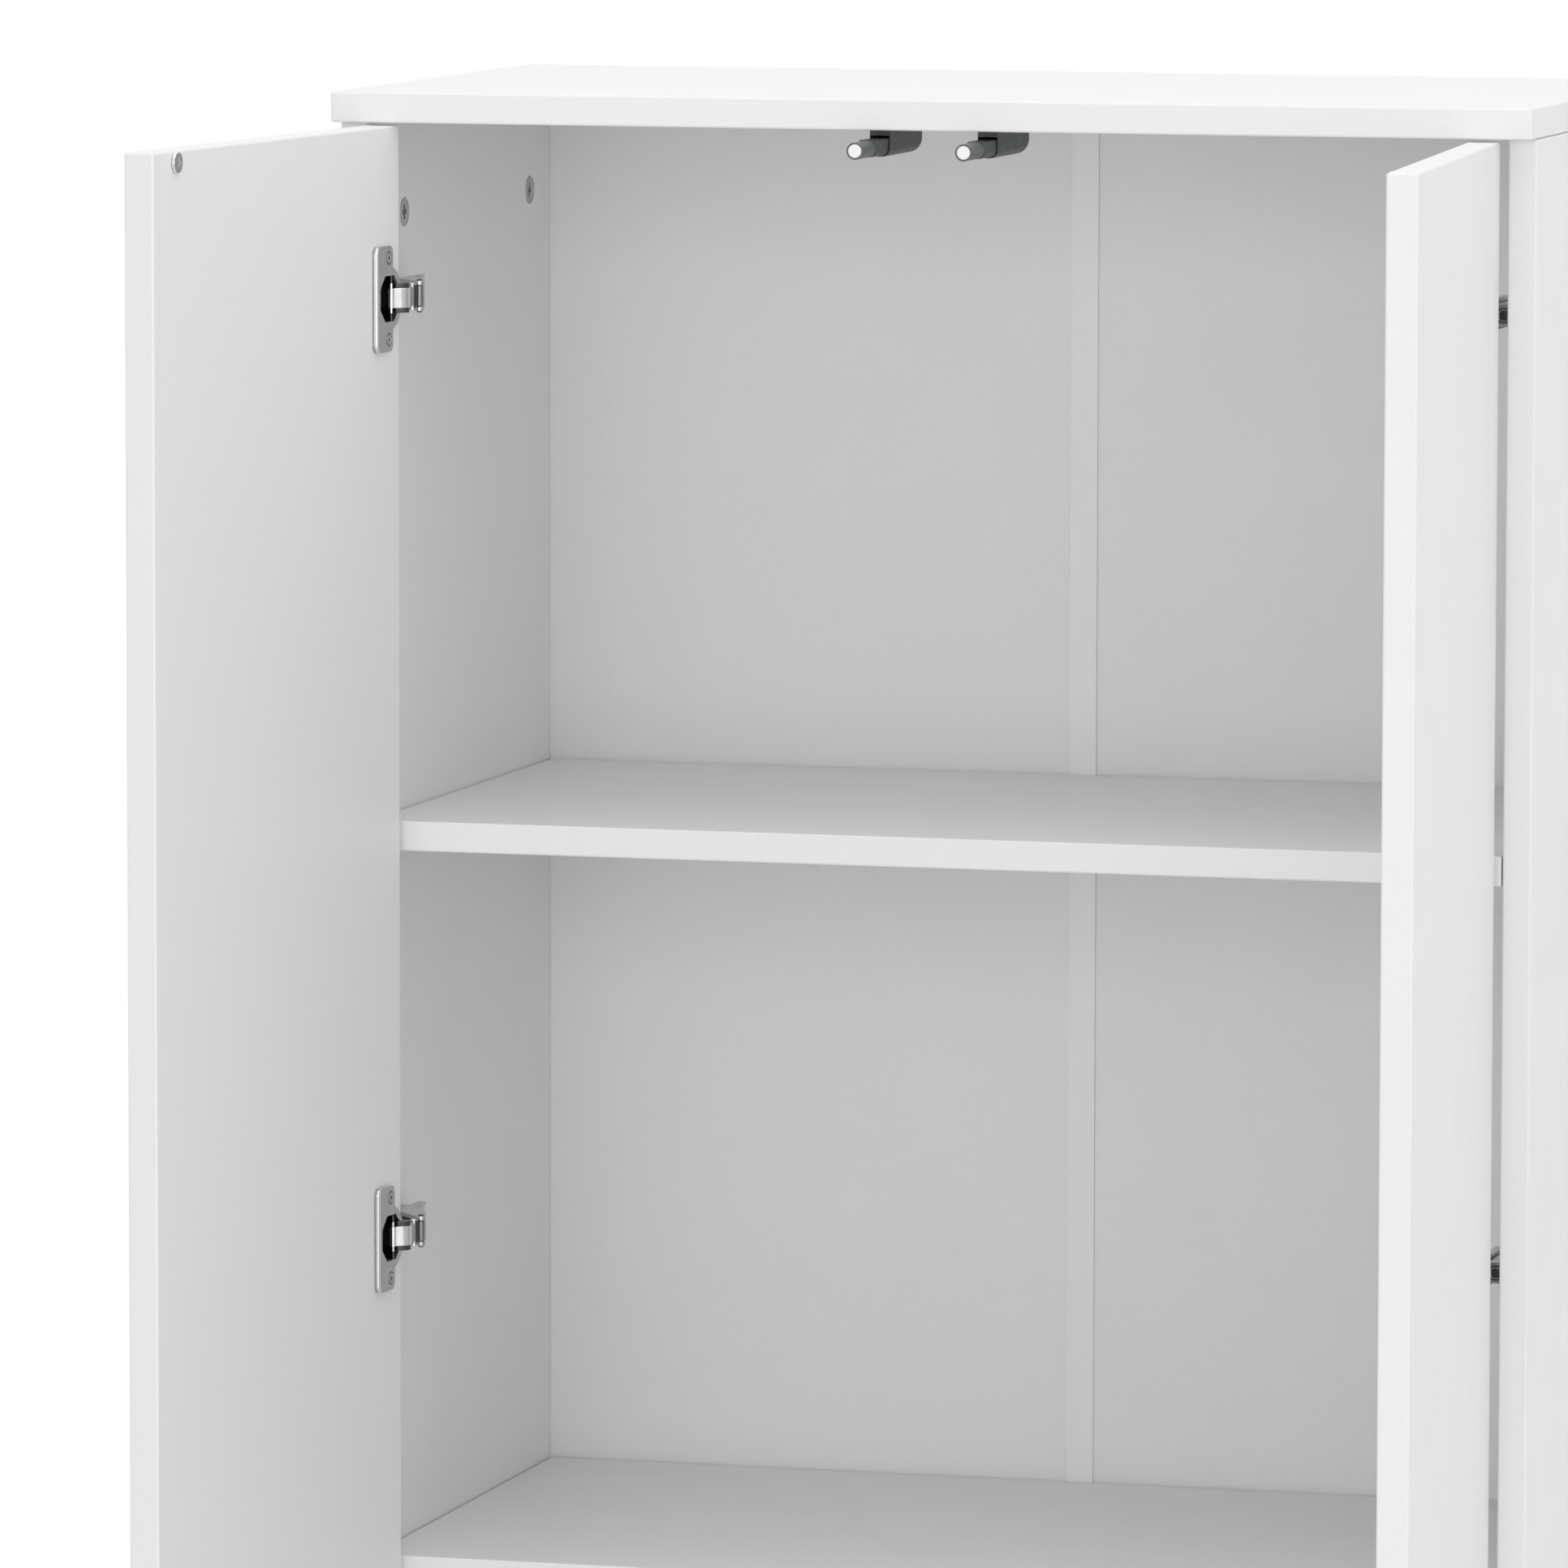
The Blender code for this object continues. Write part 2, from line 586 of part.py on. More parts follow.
def hinge_cup(name, hand, level, axis):
    """The hinge's cup: wings on the door's face, the cup sunk in the door, ears and their pin."""
    axes = on_face(hand, level)
    wings = plate(wing_outline(), SEAT_GAP, WING_PROUD, axes=axes)
    cup = round_edges(piece(name, wings, CHROME, axis), WING_EDGE, METAL_EDGE_STEPS)
    floor = door_point(hand, CUP_CENTRE, -CUP_DEPTH, level)
    rim_seat = door_point(hand, CUP_CENTRE, RIM_SEAT, level)
    rim = door_point(hand, CUP_CENTRE, RIM_PROUD, level)
    inside = door_point(hand, CUP_CENTRE, (RIM_SEAT + RIM_PROUD) / 2, level)
    join(cup, rod(rim_seat, rim, RIM_RADIUS), rod(floor, inside, CUP_RADIUS), solver=CUP_SOLVER)
    mouth = plate(mouth_outline(), CUP_FLOOR - CUP_DEPTH, WING_PROUD + PAST, axes=axes)
    cut(cup, mouth, solver=CUP_SOLVER)
    root = (SEAT_GAP + WING_PROUD) / 2
    ear_start = MOUTH_HEIGHT / 2 + SEAT_GAP
    ear_end = ear_start + EAR_LENGTH
    for up in (1, -1):
        low = door_point(hand, PIN_FROM_EDGE - EAR_HALF_WIDTH, root, level + up * ear_start)
        high_level = level + up * ear_end
        high = door_point(hand, PIN_FROM_EDGE + EAR_HALF_WIDTH, PIN_PROUD + EAR_HALF_WIDTH, high_level)
        join(cup, block(low, high), solver=CUP_SOLVER)
        head_level = level + up * CUP_SCREW_PITCH / 2
        head_seat = door_point(hand, CUP_SCREW_FROM_EDGE, root, head_level)
        head = door_point(hand, CUP_SCREW_FROM_EDGE, WING_PROUD + SCREW_HEAD_PROUD, head_level)
        join(cup, rod(head_seat, head, SCREW_HEAD_RADIUS, SMALL_SIDES), solver=CUP_SOLVER)
    pin_half = ear_start + EAR_LENGTH / 2
    pin_low = door_point(hand, PIN_FROM_EDGE, PIN_PROUD, level - pin_half)
    pin_high = door_point(hand, PIN_FROM_EDGE, PIN_PROUD, level + pin_half)
    join(cup, rod(pin_low, pin_high, CUP_PIN_RADIUS, SMALL_SIDES), solver=CUP_SOLVER)


def hinge_link(name, hand, level, axis):
    """A strap with an eye on the arm's pin and an eye on the cup's pin."""
    run = CUP_PIN - ARM_PIN
    length = run.length
    arm_side = math.degrees(math.asin(LINK_HALF_THICKNESS / LINK_ARM_EYE))
    cup_side = math.degrees(math.asin(LINK_HALF_THICKNESS / LINK_CUP_EYE))
    outline = [
        *arc((0, 0), LINK_ARM_EYE, arm_side, 360 - arm_side, SMALL_SIDES),
        *arc((length, 0), LINK_CUP_EYE, cup_side - 180, 180 - cup_side, SMALL_SIDES),
    ]
    holes = circle((0, 0), ARM_PIN_RADIUS + PIN_FIT), circle((length, 0), CUP_PIN_RADIUS + PIN_FIT)
    turn = Matrix.Rotation(math.atan2(run.y, hand * run.x), 4, "Z")
    half = LINK_HEIGHT / 2
    piece(name, plate(outline, level - half, level + half, holes, turn), CHROME, axis)


def hinge_arm(name, hand, level):
    """The arm on the side panel, its slotted nose holding the link's pin."""
    seat = PLATE_SPINE + SEAT_GAP
    tail = seat + ARM_TAIL
    outline = [
        (seat, ARM_REAR),
        (seat, ARM_FRONT),
        *arc(ARM_PIN, ARM_NOSE, 225, 405, 2 * CORNER_STEPS),
        (tail, ARM_SLOPE_END),
        (tail, ARM_REAR),
    ]
    placed = [plan(hand, point, 0.0)[:2] for point in outline]
    half = ARM_HEIGHT / 2
    body = plate(placed, level - half, level + half)
    arm = round_edges(piece(name, body, CHROME), ARM_EDGE, METAL_EDGE_STEPS)
    slot_half = LINK_HEIGHT / 2 + ARM_SLOT_FIT
    slot_end = ARM_PIN.y + LINK_ARM_EYE + 2 * ARM_SLOT_FIT
    far_front = ARM_PIN.y - ARM_NOSE - PAST
    low = plan(hand, (seat - PAST, far_front), level - slot_half)
    high = plan(hand, (ARM_PIN.x + ARM_NOSE + PAST, slot_end), level + slot_half)
    cut(arm, block(low, high))
    pin_half = (half + slot_half) / 2
    pin_low = plan(hand, ARM_PIN, level - pin_half)
    pin_high = plan(hand, ARM_PIN, level + pin_half)
    join(arm, rod(pin_low, pin_high, ARM_PIN_RADIUS, SMALL_SIDES))


def hinge_plate(name, hand, level):
    """The plate screwed to the side panel: a spine under the arm and a wing above and below."""
    half = PLATE_SPINE_HEIGHT / 2
    spine_low = plan(hand, (SEAT_GAP, ARM_FRONT), level - half)
    spine = block(spine_low, plan(hand, (PLATE_SPINE, ARM_REAR), level + half))
    base_plate = round_edges(piece(name, spine, CHROME), ARM_EDGE, METAL_EDGE_STEPS)
    reach = PLATE_WING_HEIGHT / 2
    top = SEAT_GAP + PLATE_WING
    low = plan(hand, (SEAT_GAP, PLATE_WING_FRONT), level - reach)
    high = plan(hand, (top, PLATE_WING_REAR), level + reach)
    join(base_plate, block(low, high))
    middle = (PLATE_WING_FRONT + PLATE_WING_REAR) / 2
    for up in (1, -1):
        head_level = level + up * PLATE_SCREW_PITCH / 2
        seat = plan(hand, (top / 2, middle), head_level)
        head = plan(hand, (top + SCREW_HEAD_PROUD, middle), head_level)
        join(base_plate, rod(seat, head, SCREW_HEAD_RADIUS, SMALL_SIDES))


def latch_outline(width, top, bottom, radius):
    """Upright outline with a flat top and round lower corners."""
    half = width / 2
    return [
        (half, top),
        (-half, top),
        *arc((radius - half, bottom + radius), radius, 180, 270),
        *arc((half - radius, bottom + radius), radius, 270, 360),
    ]


def latch_side_view(top, bottom):
    """Side outline of the latch housing, its lower rear corner swept up in a long curve."""
    front = LATCH_FRONT - PAST
    start = LATCH_REAR - LATCH_REAR_RUN
    turn = arc((0, 1), 1, 270, 360, 2 * CORNER_STEPS)
    curve = [(start + LATCH_REAR_RUN * run, bottom + LATCH_REAR_RISE * rise) for run, rise in turn]
    return [(front, bottom), *curve, (LATCH_REAR, top), (front, top)]


def latch_housing(side, place):
    """The latch's housing, screwed under the top panel and hollow for its plunger and spring."""
    shift = Matrix.Translation(place)
    half = LATCH_HEIGHT / 2
    wall = LATCH_FIT + LATCH_WALL
    top = LATCH_DROP - SEAT_GAP
    bottom = -half - wall
    outer = latch_outline(LATCH_WIDTH + 2 * wall, top, bottom, LATCH_ROUND + wall)
    shell = plate(outer, -LATCH_REAR, -LATCH_FRONT, axes=shift @ ACROSS)
    housing = piece(f"push_latch_housing_{side}", shell, GREY_PLASTIC)
    side_view = latch_side_view(top + PAST, bottom)
    combine(housing, "INTERSECT", [plate(side_view, -LATCH_WIDTH, LATCH_WIDTH, axes=shift @ ENDWAYS)])
    ceiling = half + LATCH_FIT
    room = latch_outline(LATCH_WIDTH + 2 * LATCH_FIT, ceiling, -ceiling, LATCH_ROUND + LATCH_FIT)
    cut(housing, plate(room, -LATCH_ROOM_REAR, PAST - LATCH_FRONT, axes=shift @ ACROSS))


def latch_plunger(side, place):
    """The plunger that a shut door pushes in, with a white pad let into its round tip."""
    tip = TOP_FRONT - TIP_REACH
    axis = axis_empty(f"plunger_axis_{side}", place + Vector((0, tip, 0)))
    half = LATCH_HEIGHT / 2
    held_end = LATCH_FRONT + LATCH_HELD - tip
    outline = latch_outline(LATCH_WIDTH, half, -half, LATCH_ROUND)
    shape = plate(outline, -held_end, -TIP_LENGTH, axes=ACROSS)
    plunger = piece(f"push_latch_plunger_{side}", shape, GREY_PLASTIC, axis)
    join(plunger, rod((0, 0, 0), (0, TIP_LENGTH + PAST, 0), TIP_RADIUS))
    floor = TIP_PAD_DEPTH + SEAT_GAP
    cut(plunger, rod((0, -PAST, 0), (0, floor, 0), TIP_PAD_RADIUS + SEAT_GAP))
    pad = rod((0, -TIP_PAD_PROUD, 0), (0, TIP_PAD_DEPTH, 0), TIP_PAD_RADIUS)
    piece(f"push_latch_tip_{side}", pad, WHITE_PLASTIC, axis)


def hinged_door(side, hand):
    """A door, its three hinges and what rides on it."""
    place = plan(hand, ARM_PIN, 0.0)
    link_axis = axis_empty(f"link_axis_{side}", place)
    offset = plan(hand, CUP_PIN, 0.0) - place
    door_axis = axis_empty(f"door_axis_{side}", offset, -hand * OPEN_ANGLE, link_axis)
    door(side, hand, door_axis)
    strike_disc(side, hand, door_axis)
    for name, level in HINGE_LEVELS:
        hinge_cup(f"hinge_cup_{side}_{name}", hand, level, door_axis)
        hinge_link(f"hinge_link_{side}_{name}", hand, level, link_axis)
        hinge_arm(f"hinge_arm_{side}_{name}", hand, level)
        hinge_plate(f"hinge_plate_{side}_{name}", hand, level)


top_panel()
base()
back()
for shelf_name, shelf_level in SHELVES:
    shelf(shelf_name, shelf_level)
for side_name, side_hand in SIDES:
    side_panel(side_name, side_hand)
    for cam_place, cam_depth in CAM_DEPTHS:
        cam_lock(side_name, side_hand, cam_place, cam_depth)
    hinged_door(side_name, side_hand)
    latch_axis = Vector((-side_hand * LATCH_SPACING / 2, 0, LATCH_LEVEL))
    latch_housing(side_name, latch_axis)
    latch_plunger(side_name, latch_axis)
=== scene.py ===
"""File cupboard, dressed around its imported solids."""

import json
import math

import bmesh
import bpy
from mathutils import Matrix, Vector


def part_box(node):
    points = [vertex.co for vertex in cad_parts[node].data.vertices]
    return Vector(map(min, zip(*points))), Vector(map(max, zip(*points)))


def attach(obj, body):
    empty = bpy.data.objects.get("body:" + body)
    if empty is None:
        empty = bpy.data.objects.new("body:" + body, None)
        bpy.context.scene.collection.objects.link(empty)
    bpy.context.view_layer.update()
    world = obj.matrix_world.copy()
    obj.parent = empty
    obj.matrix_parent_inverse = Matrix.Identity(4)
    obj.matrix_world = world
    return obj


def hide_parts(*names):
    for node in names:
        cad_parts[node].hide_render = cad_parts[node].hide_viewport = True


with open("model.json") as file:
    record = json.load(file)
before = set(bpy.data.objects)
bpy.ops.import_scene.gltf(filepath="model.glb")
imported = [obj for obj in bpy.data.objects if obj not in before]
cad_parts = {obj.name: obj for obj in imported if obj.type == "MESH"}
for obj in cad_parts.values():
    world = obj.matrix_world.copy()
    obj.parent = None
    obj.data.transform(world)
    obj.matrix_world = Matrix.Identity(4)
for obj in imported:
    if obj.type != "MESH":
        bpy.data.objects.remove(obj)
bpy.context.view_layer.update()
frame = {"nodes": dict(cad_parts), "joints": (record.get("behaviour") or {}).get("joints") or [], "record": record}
nodes = frame["nodes"]
scene = bpy.context.scene
scene.view_settings.view_transform = "Standard"


# Places, in metres, worked out from the frame

def middle(node):
    """The middle of a node's box."""
    low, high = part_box(node)
    return (low + high) / 2


SIDES = ("left", 1), ("right", -1)
HINGES = "upper", "middle", "lower"
SHELVES = "upper", "lower"
DEPTHS = "front", "rear"
INNER_HALF = -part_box("side_panel_left")[1].x
SIDE_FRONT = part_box("side_panel_left")[0].y


def pin_place(name):
    """A left hinge pin from above: inwards from the side panel's inner face, back from its front edge."""
    x, y, _ = [joint["pos_m"] for joint in frame["joints"] if joint["name"] == name][0]
    return Vector((x + INNER_HALF, y - SIDE_FRONT))


ARM_PIN = pin_place("link_swing_left")
CUP_PIN = pin_place("door_swing_left")

# Repeated from the part: how far the doors stand open, their inner hinge corner then, the cup's pin on them
OPEN_ANGLE = math.radians(95)
OPEN_CORNER = (0.01926, -0.00647)
PIN_ALONG, PIN_PROUD = 0.016, 0.002


# Frames to build in

def axes(first, second, third, origin):
    """A matrix from three directions and an origin."""
    rows = [(*row, place) for row, place in zip(zip(first, second, third), origin)]
    return Matrix((*rows, (0, 0, 0, 1)))


def door_face(hand, level):
    """Drawn on the open door's inner face: X along its width, Y up, Z proud of it."""
    run = (hand * math.cos(OPEN_ANGLE), -math.sin(OPEN_ANGLE), 0)
    rise = (hand * math.sin(OPEN_ANGLE), math.cos(OPEN_ANGLE), 0)
    origin = (hand * (OPEN_CORNER[0] - INNER_HALF), SIDE_FRONT + OPEN_CORNER[1], level)
    return axes(run, (0, 0, 1), rise, origin)


def door_plan(hand, level):
    """Drawn from above on the open door: X along its width, Y proud of it, Z up."""
    return door_face(hand, level) @ axes((1, 0, 0), (0, 0, 1), (0, 1, 0), (0, 0, 0))


def side_plan(hand, level):
    """Drawn from above at a side panel: X inwards from its inner face, Y back from its front edge, Z up."""
    return axes((hand, 0, 0), (0, 1, 0), (0, 0, 1), (-hand * INNER_HALF, SIDE_FRONT, level))


def side_face(hand, level):
    """Drawn on a side panel's inner face: X back from its front edge, Y up, Z inwards."""
    return axes((0, 1, 0), (0, 0, 1), (hand, 0, 0), (-hand * INNER_HALF, SIDE_FRONT, level))


def side_end(hand, level):
    """Drawn from the front at a side panel: X inwards from its inner face, Y up, Z back from its edge."""
    return axes((hand, 0, 0), (0, 0, 1), (0, 1, 0), (-hand * INNER_HALF, SIDE_FRONT, level))


def latch_ends(side):
    """Drawn from the front on a latch's centre line: X across, Y up, Z back."""
    tip = middle(f"push_latch_tip_{side}")
    return axes((1, 0, 0), (0, 0, 1), (0, 1, 0), (tip.x, 0, tip.z))


# Shapes

MERGE_WITHIN = 0.000005
POINT_RADIUS = 0.00002
ROUND_STEPS, SMALL_STEPS, TINY_STEPS = 48, 32, 20
SHARP_ANGLE = math.radians(38)
SOFT_END = (2.0, 0.0), (0.6, 0.3), (0.0, 1.0)


def arc(centre, radius, first, last, steps=8):
    """Points along an arc, from one angle in degrees to another."""
    points = []
    for step in range(steps + 1):
        angle = math.radians(first + (last - first) * step / steps)
        points.append((centre[0] + radius * math.cos(angle), centre[1] + radius * math.sin(angle)))
    return points


def circle(centre, radius, steps=ROUND_STEPS):
    return arc(centre, radius, 0, 360, steps)[:-1]


def rounded(x0, y0, x1, y1, radius, steps=6):
    """A rectangle's outline with round corners."""
    return [
        *arc((x1 - radius, y1 - radius), radius, 0, 90, steps),
        *arc((x0 + radius, y1 - radius), radius, 90, 180, steps),
        *arc((x0 + radius, y0 + radius), radius, 180, 270, steps),
        *arc((x1 - radius, y0 + radius), radius, 270, 360, steps),
    ]


def cross_slot(centre, length, width):
    """The outline of a screw's cross."""
    reach, half = length / 2, width / 2
    quarter = [(reach, half), (half, half), (half, reach)]
    points = []
    for _ in range(4):
        points += quarter
        quarter = [(-y, x) for x, y in quarter]
    return [(centre[0] + x, centre[1] + y) for x, y in points]


def plate(outline, low, high, holes=(), soft=0.0003, steps=2):
    """A flat outline made thick from low to high, its edges and the edges of its holes rounded."""
    curve = bpy.data.curves.new("outline", "CURVE")
    curve.dimensions = "2D"
    curve.fill_mode = "BOTH"
    curve.extrude = (high - low) / 2 - soft
    curve.bevel_depth = soft
    curve.bevel_resolution = steps
    curve.offset = -soft
    for loop in (outline, *holes):
        spline = curve.splines.new("POLY")
        spline.points.add(len(loop) - 1)
        for point, place in zip(spline.points, loop):
            point.co = (place[0], place[1], 0.0, 1.0)
        spline.use_cyclic_u = True
    holder = bpy.data.objects.new("outline", curve)
    scene.collection.objects.link(holder)
    mesh = bpy.data.meshes.new_from_object(holder.evaluated_get(bpy.context.evaluated_depsgraph_get()))
    shape = bmesh.new()
    shape.from_mesh(mesh)
    bmesh.ops.remove_doubles(shape, verts=shape.verts, dist=MERGE_WITHIN)
    bmesh.ops.translate(shape, vec=(0, 0, (low + high) / 2), verts=shape.verts)
    bpy.data.objects.remove(holder)
    bpy.data.curves.remove(curve)
    bpy.data.meshes.remove(mesh)
    return shape


def loft(rings):
    """A closed skin over rings of equal count, capped at both ends."""
    shape = bmesh.new()
    made = [[shape.verts.new(point) for point in ring] for ring in rings]
    count = len(made[0])
    for lower, upper in zip(made, made[1:]):
        for i in range(count):
            j = (i + 1) % count
            shape.faces.new((lower[i], lower[j], upper[j], upper[i]))
    shape.faces.new(made[0][::-1])
    shape.faces.new(made[-1])
    return shape


def turned(profile, sides=40):
    """A turned shape about Z: the profile gives radius and height, from one end to the other."""
    rings = []
    for radius, height in profile:
        rings.append([(x, y, height) for x, y in circle((0, 0), max(radius, POINT_RADIUS), sides)])
    return loft(rings)


def bar(radius, low, high, soft, sides=24):
    """A round bar about Z with softened ends."""
    start = [(radius - back * soft, low + along * soft) for back, along in SOFT_END]
    end = [(radius - back * soft, high - along * soft) for back, along in reversed(SOFT_END)]
    return turned(start + end, sides)


def slotted_head(centre, radius, low, high, slot, width, depth, soft=0.0002):
    """A round head's face with a cross slot through it, and the root that shows below the slot."""
    face = plate(circle(centre, radius), high - depth, high, [cross_slot(centre, slot, width)], soft, 1)
    root = plate(circle(centre, radius), low, high - depth + soft, (), soft, 1)
    return face, root


def piece(name, shapes, finish, body, replaced=()):
    """One piece of the scene from shapes and the frames they are drawn in."""
    whole = bmesh.new()
    for shape, place in shapes:
        bmesh.ops.transform(shape, matrix=place, verts=shape.verts)
        bmesh.ops.recalc_face_normals(shape, faces=shape.faces)
        part = bpy.data.meshes.new("part")
        shape.to_mesh(part)
        whole.from_mesh(part)
        shape.free()
        bpy.data.meshes.remove(part)
    mesh = bpy.data.meshes.new(name)
    whole.to_mesh(mesh)
    whole.free()
    mesh.materials.append(finish)
    mesh.shade_smooth()
    mesh.set_sharp_from_angle(angle=SHARP_ANGLE)
    made = bpy.data.objects.new(name, mesh)
    scene.collection.objects.link(made)
    even = made.modifiers.new("even_shading", "WEIGHTED_NORMAL")
    even.keep_sharp = True
    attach(made, body)
    if replaced:
        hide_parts(*replaced)


# Materials

# Most values of a noise texture lie between these
MOST = 0.3, 0.7

# The mix node's sockets for colours
FIRST_COLOUR, SECOND_COLOUR, MIXED_COLOUR = 6, 7, 2


class Finish:
    """A node-built material, its texture fixed to the piece."""

    def __init__(self, name, colour, roughness, metallic=0.0):
        self.material = bpy.data.materials.new(name)
        self.material.use_nodes = True
        self.nodes = self.material.node_tree.nodes
        self.links = self.material.node_tree.links
        self.shader = self.nodes["Principled BSDF"]
        self.shader.inputs["Base Color"].default_value = (*colour, 1)
        self.shader.inputs["Roughness"].default_value = roughness
        self.shader.inputs["Metallic"].default_value = metallic
        self.place = self.nodes.new("ShaderNodeTexCoord").outputs["Object"]
        self.bumps = None

    def stretched(self, scale):
        """The piece's own coordinates, scaled along each axis."""
        node = self.nodes.new("ShaderNodeMapping")
        node.inputs["Scale"].default_value = scale
        self.links.new(self.place, node.inputs["Vector"])
        return node.outputs["Vector"]

    def noise(self, scale, detail=2.0, spread=0.5, place=None):
        node = self.nodes.new("ShaderNodeTexNoise")
        node.inputs["Scale"].default_value = scale
        node.inputs["Detail"].default_value = detail
        node.inputs["Roughness"].default_value = spread
        self.links.new(place or self.place, node.inputs["Vector"])
        return node.outputs["Fac"]

    def between(self, value, low, high, out_low=0.0, out_high=1.0):
        """A value's range from low to high, stretched to another range and held inside it."""
        node = self.nodes.new("ShaderNodeMapRange")
        limits = {"From Min": low, "From Max": high, "To Min": out_low, "To Max": out_high}
        for name, number in limits.items():
            node.inputs[name].default_value = number
        self.links.new(value, node.inputs["Value"])
        return node.outputs["Result"]

    def mix(self, share, first, second):
        """Two colours, each plain or from a node, mixed by a share."""
        node = self.nodes.new("ShaderNodeMix")
        node.data_type = "RGBA"
        self.links.new(share, node.inputs["Factor"])
        for index, colour in ((FIRST_COLOUR, first), (SECOND_COLOUR, second)):
            socket = node.inputs[index]
            if hasattr(colour, "is_output"):
                self.links.new(colour, socket)
            else:
                socket.default_value = (*colour, 1)
        return node.outputs[MIXED_COLOUR]

    def edges(self, radius, low=0.02, high=0.25):
        """1 along sharp edges, 0 on flat faces: the mask used to paint highlights along edges."""
        bevel = self.nodes.new("ShaderNodeBevel")
        bevel.samples = 4
        bevel.inputs["Radius"].default_value = radius
        flat = self.nodes.new("ShaderNodeNewGeometry")
        dot = self.nodes.new("ShaderNodeVectorMath")
        dot.operation = "DOT_PRODUCT"
        self.links.new(bevel.outputs["Normal"], dot.inputs[0])
        self.links.new(flat.outputs["Normal"], dot.inputs[1])
        return self.between(dot.outputs["Value"], 1 - low, 1 - high)

    def colour(self, value):
        self.links.new(value, self.shader.inputs["Base Color"])

    def roughness(self, value):
        self.links.new(value, self.shader.inputs["Roughness"])

    def bump(self, value, strength, distance):
        """Adds a bump on top of those made before."""
        node = self.nodes.new("ShaderNodeBump")
        node.inputs["Strength"].default_value = strength
        node.inputs["Distance"].default_value = distance
        self.links.new(value, node.inputs["Height"])
        if self.bumps:
            self.links.new(self.bumps, node.inputs["Normal"])
        self.bumps = node.outputs["Normal"]
        self.links.new(self.bumps, self.shader.inputs["Normal"])


def tinted(colour, factor):
    return tuple(min(1.0, channel * factor) for channel in colour)


def board_finish():
    """White melamine on board: a fine pearl texture, faint speckle, and a painted highlight that makes its edges a
    little brighter.
    """
    base = (0.865, 0.865, 0.862)
    made = Finish("white_melamine", base, roughness=0.45)
    speckle = made.between(made.noise(scale=1400), low=0.35, high=0.65)
    cloud = made.between(made.noise(scale=5, detail=3.0), *MOST)
    field = made.mix(speckle, tinted(base, 0.978), tinted(base, 1.014))
    field = made.mix(cloud, field, made.mix(speckle, tinted(base, 0.99), tinted(base, 1.022)))
    # Painted highlight: the edges are mixed 5% brighter than the board.
    made.colour(made.mix(made.edges(radius=0.0012), field, tinted(base, 1.05)))
    made.roughness(made.between(made.noise(scale=26, detail=4.0), *MOST, out_low=0.36, out_high=0.5))
    made.bump(made.noise(scale=950), strength=0.12, distance=0.0002)
    made.bump(made.noise(scale=120), strength=0.05, distance=0.0004)
    made.shader.inputs["IOR"].default_value = 1.45
    return made.material


def sheet_finish():
    """White lacquered fibreboard: matt, with short fibres under the paint."""
    base = (0.85, 0.85, 0.848)
    made = Finish("white_lacquer", base, roughness=0.55)
    upright = made.stretched((1.0, 1.0, 0.25))
    fibres = made.noise(scale=420, detail=4.0, spread=0.6, place=upright)
    made.colour(made.mix(made.between(fibres, *MOST), tinted(base, 0.988), tinted(base, 1.008)))
    made.roughness(made.between(made.noise(scale=18, detail=3.0), *MOST, out_low=0.48, out_high=0.62))
    made.bump(fibres, strength=0.07, distance=0.0002)
    return made.material


def strip_finish():
    """White extruded plastic with faint drawing lines along its length."""
    base = (0.88, 0.88, 0.876)
    made = Finish("white_extrusion", base, roughness=0.38)
    lines = made.noise(scale=900, place=made.stretched((1.0, 1.0, 0.004)))
    made.colour(made.mix(made.between(lines, *MOST), tinted(base, 0.985), tinted(base, 1.012)))
    made.roughness(made.between(lines, *MOST, out_low=0.32, out_high=0.44))
    made.bump(lines, strength=0.08, distance=0.0001)
    return made.material


def metal_finish(name, base, smooth, rough, grain, edge_highlight=1.12):
    """Plated metal: light scuffs, a faint mottle, and a painted highlight that brightens its edges."""
    made = Finish(name, base, roughness=smooth, metallic=1.0)
    mottle = made.between(made.noise(scale=160, detail=4.0, spread=0.6), *MOST)
    field = made.mix(mottle, tinted(base, 0.95), tinted(base, 1.04))
    # Painted highlight: edges brightened by a set factor over the mottled colour.
    made.colour(made.mix(made.edges(radius=0.0004), field, tinted(base, edge_highlight)))
    upright = made.stretched((1.0, 1.0, 0.12))
    scuffs = made.noise(scale=700, detail=3.0, spread=0.6, place=upright)
    made.roughness(made.between(scuffs, low=0.3, high=0.75, out_low=smooth, out_high=rough))
    made.bump(scuffs, strength=grain, distance=0.0001)
    return made.material


def grey_finish(name, base, rough):
    """Moulded plastic with a fine spark-eroded grain, and a painted highlight that makes its edges paler."""
    made = Finish(name, base, roughness=rough)
    grain = made.noise(scale=2600, spread=0.6)
    field = made.mix(made.between(grain, *MOST), tinted(base, 0.86), tinted(base, 1.16))
    # Painted highlight: edges made much paler than the moulding.
    made.colour(made.mix(made.edges(radius=0.0005), field, tinted(base, 1.7)))
    patches = made.noise(scale=300, detail=3.0)
    made.roughness(made.between(patches, *MOST, out_low=rough - 0.07, out_high=rough + 0.08))
    made.bump(grain, strength=0.3, distance=0.0001)
    return made.material


def tip_finish():
    """White soft plastic pad, faintly scuffed by the disc that it meets."""
    base = (0.93, 0.93, 0.925)
    made = Finish("white_pad", base, roughness=0.5)
    scuffs = made.between(made.noise(scale=1100, detail=4.0, spread=0.65), low=0.35, high=0.75)
    made.colour(made.mix(scuffs, tinted(base, 1.01), tinted(base, 0.955)))
    made.roughness(made.between(scuffs, low=0.0, high=1.0, out_low=0.45, out_high=0.6))
    made.bump(made.noise(scale=1800), strength=0.15, distance=0.0001)
    return made.material


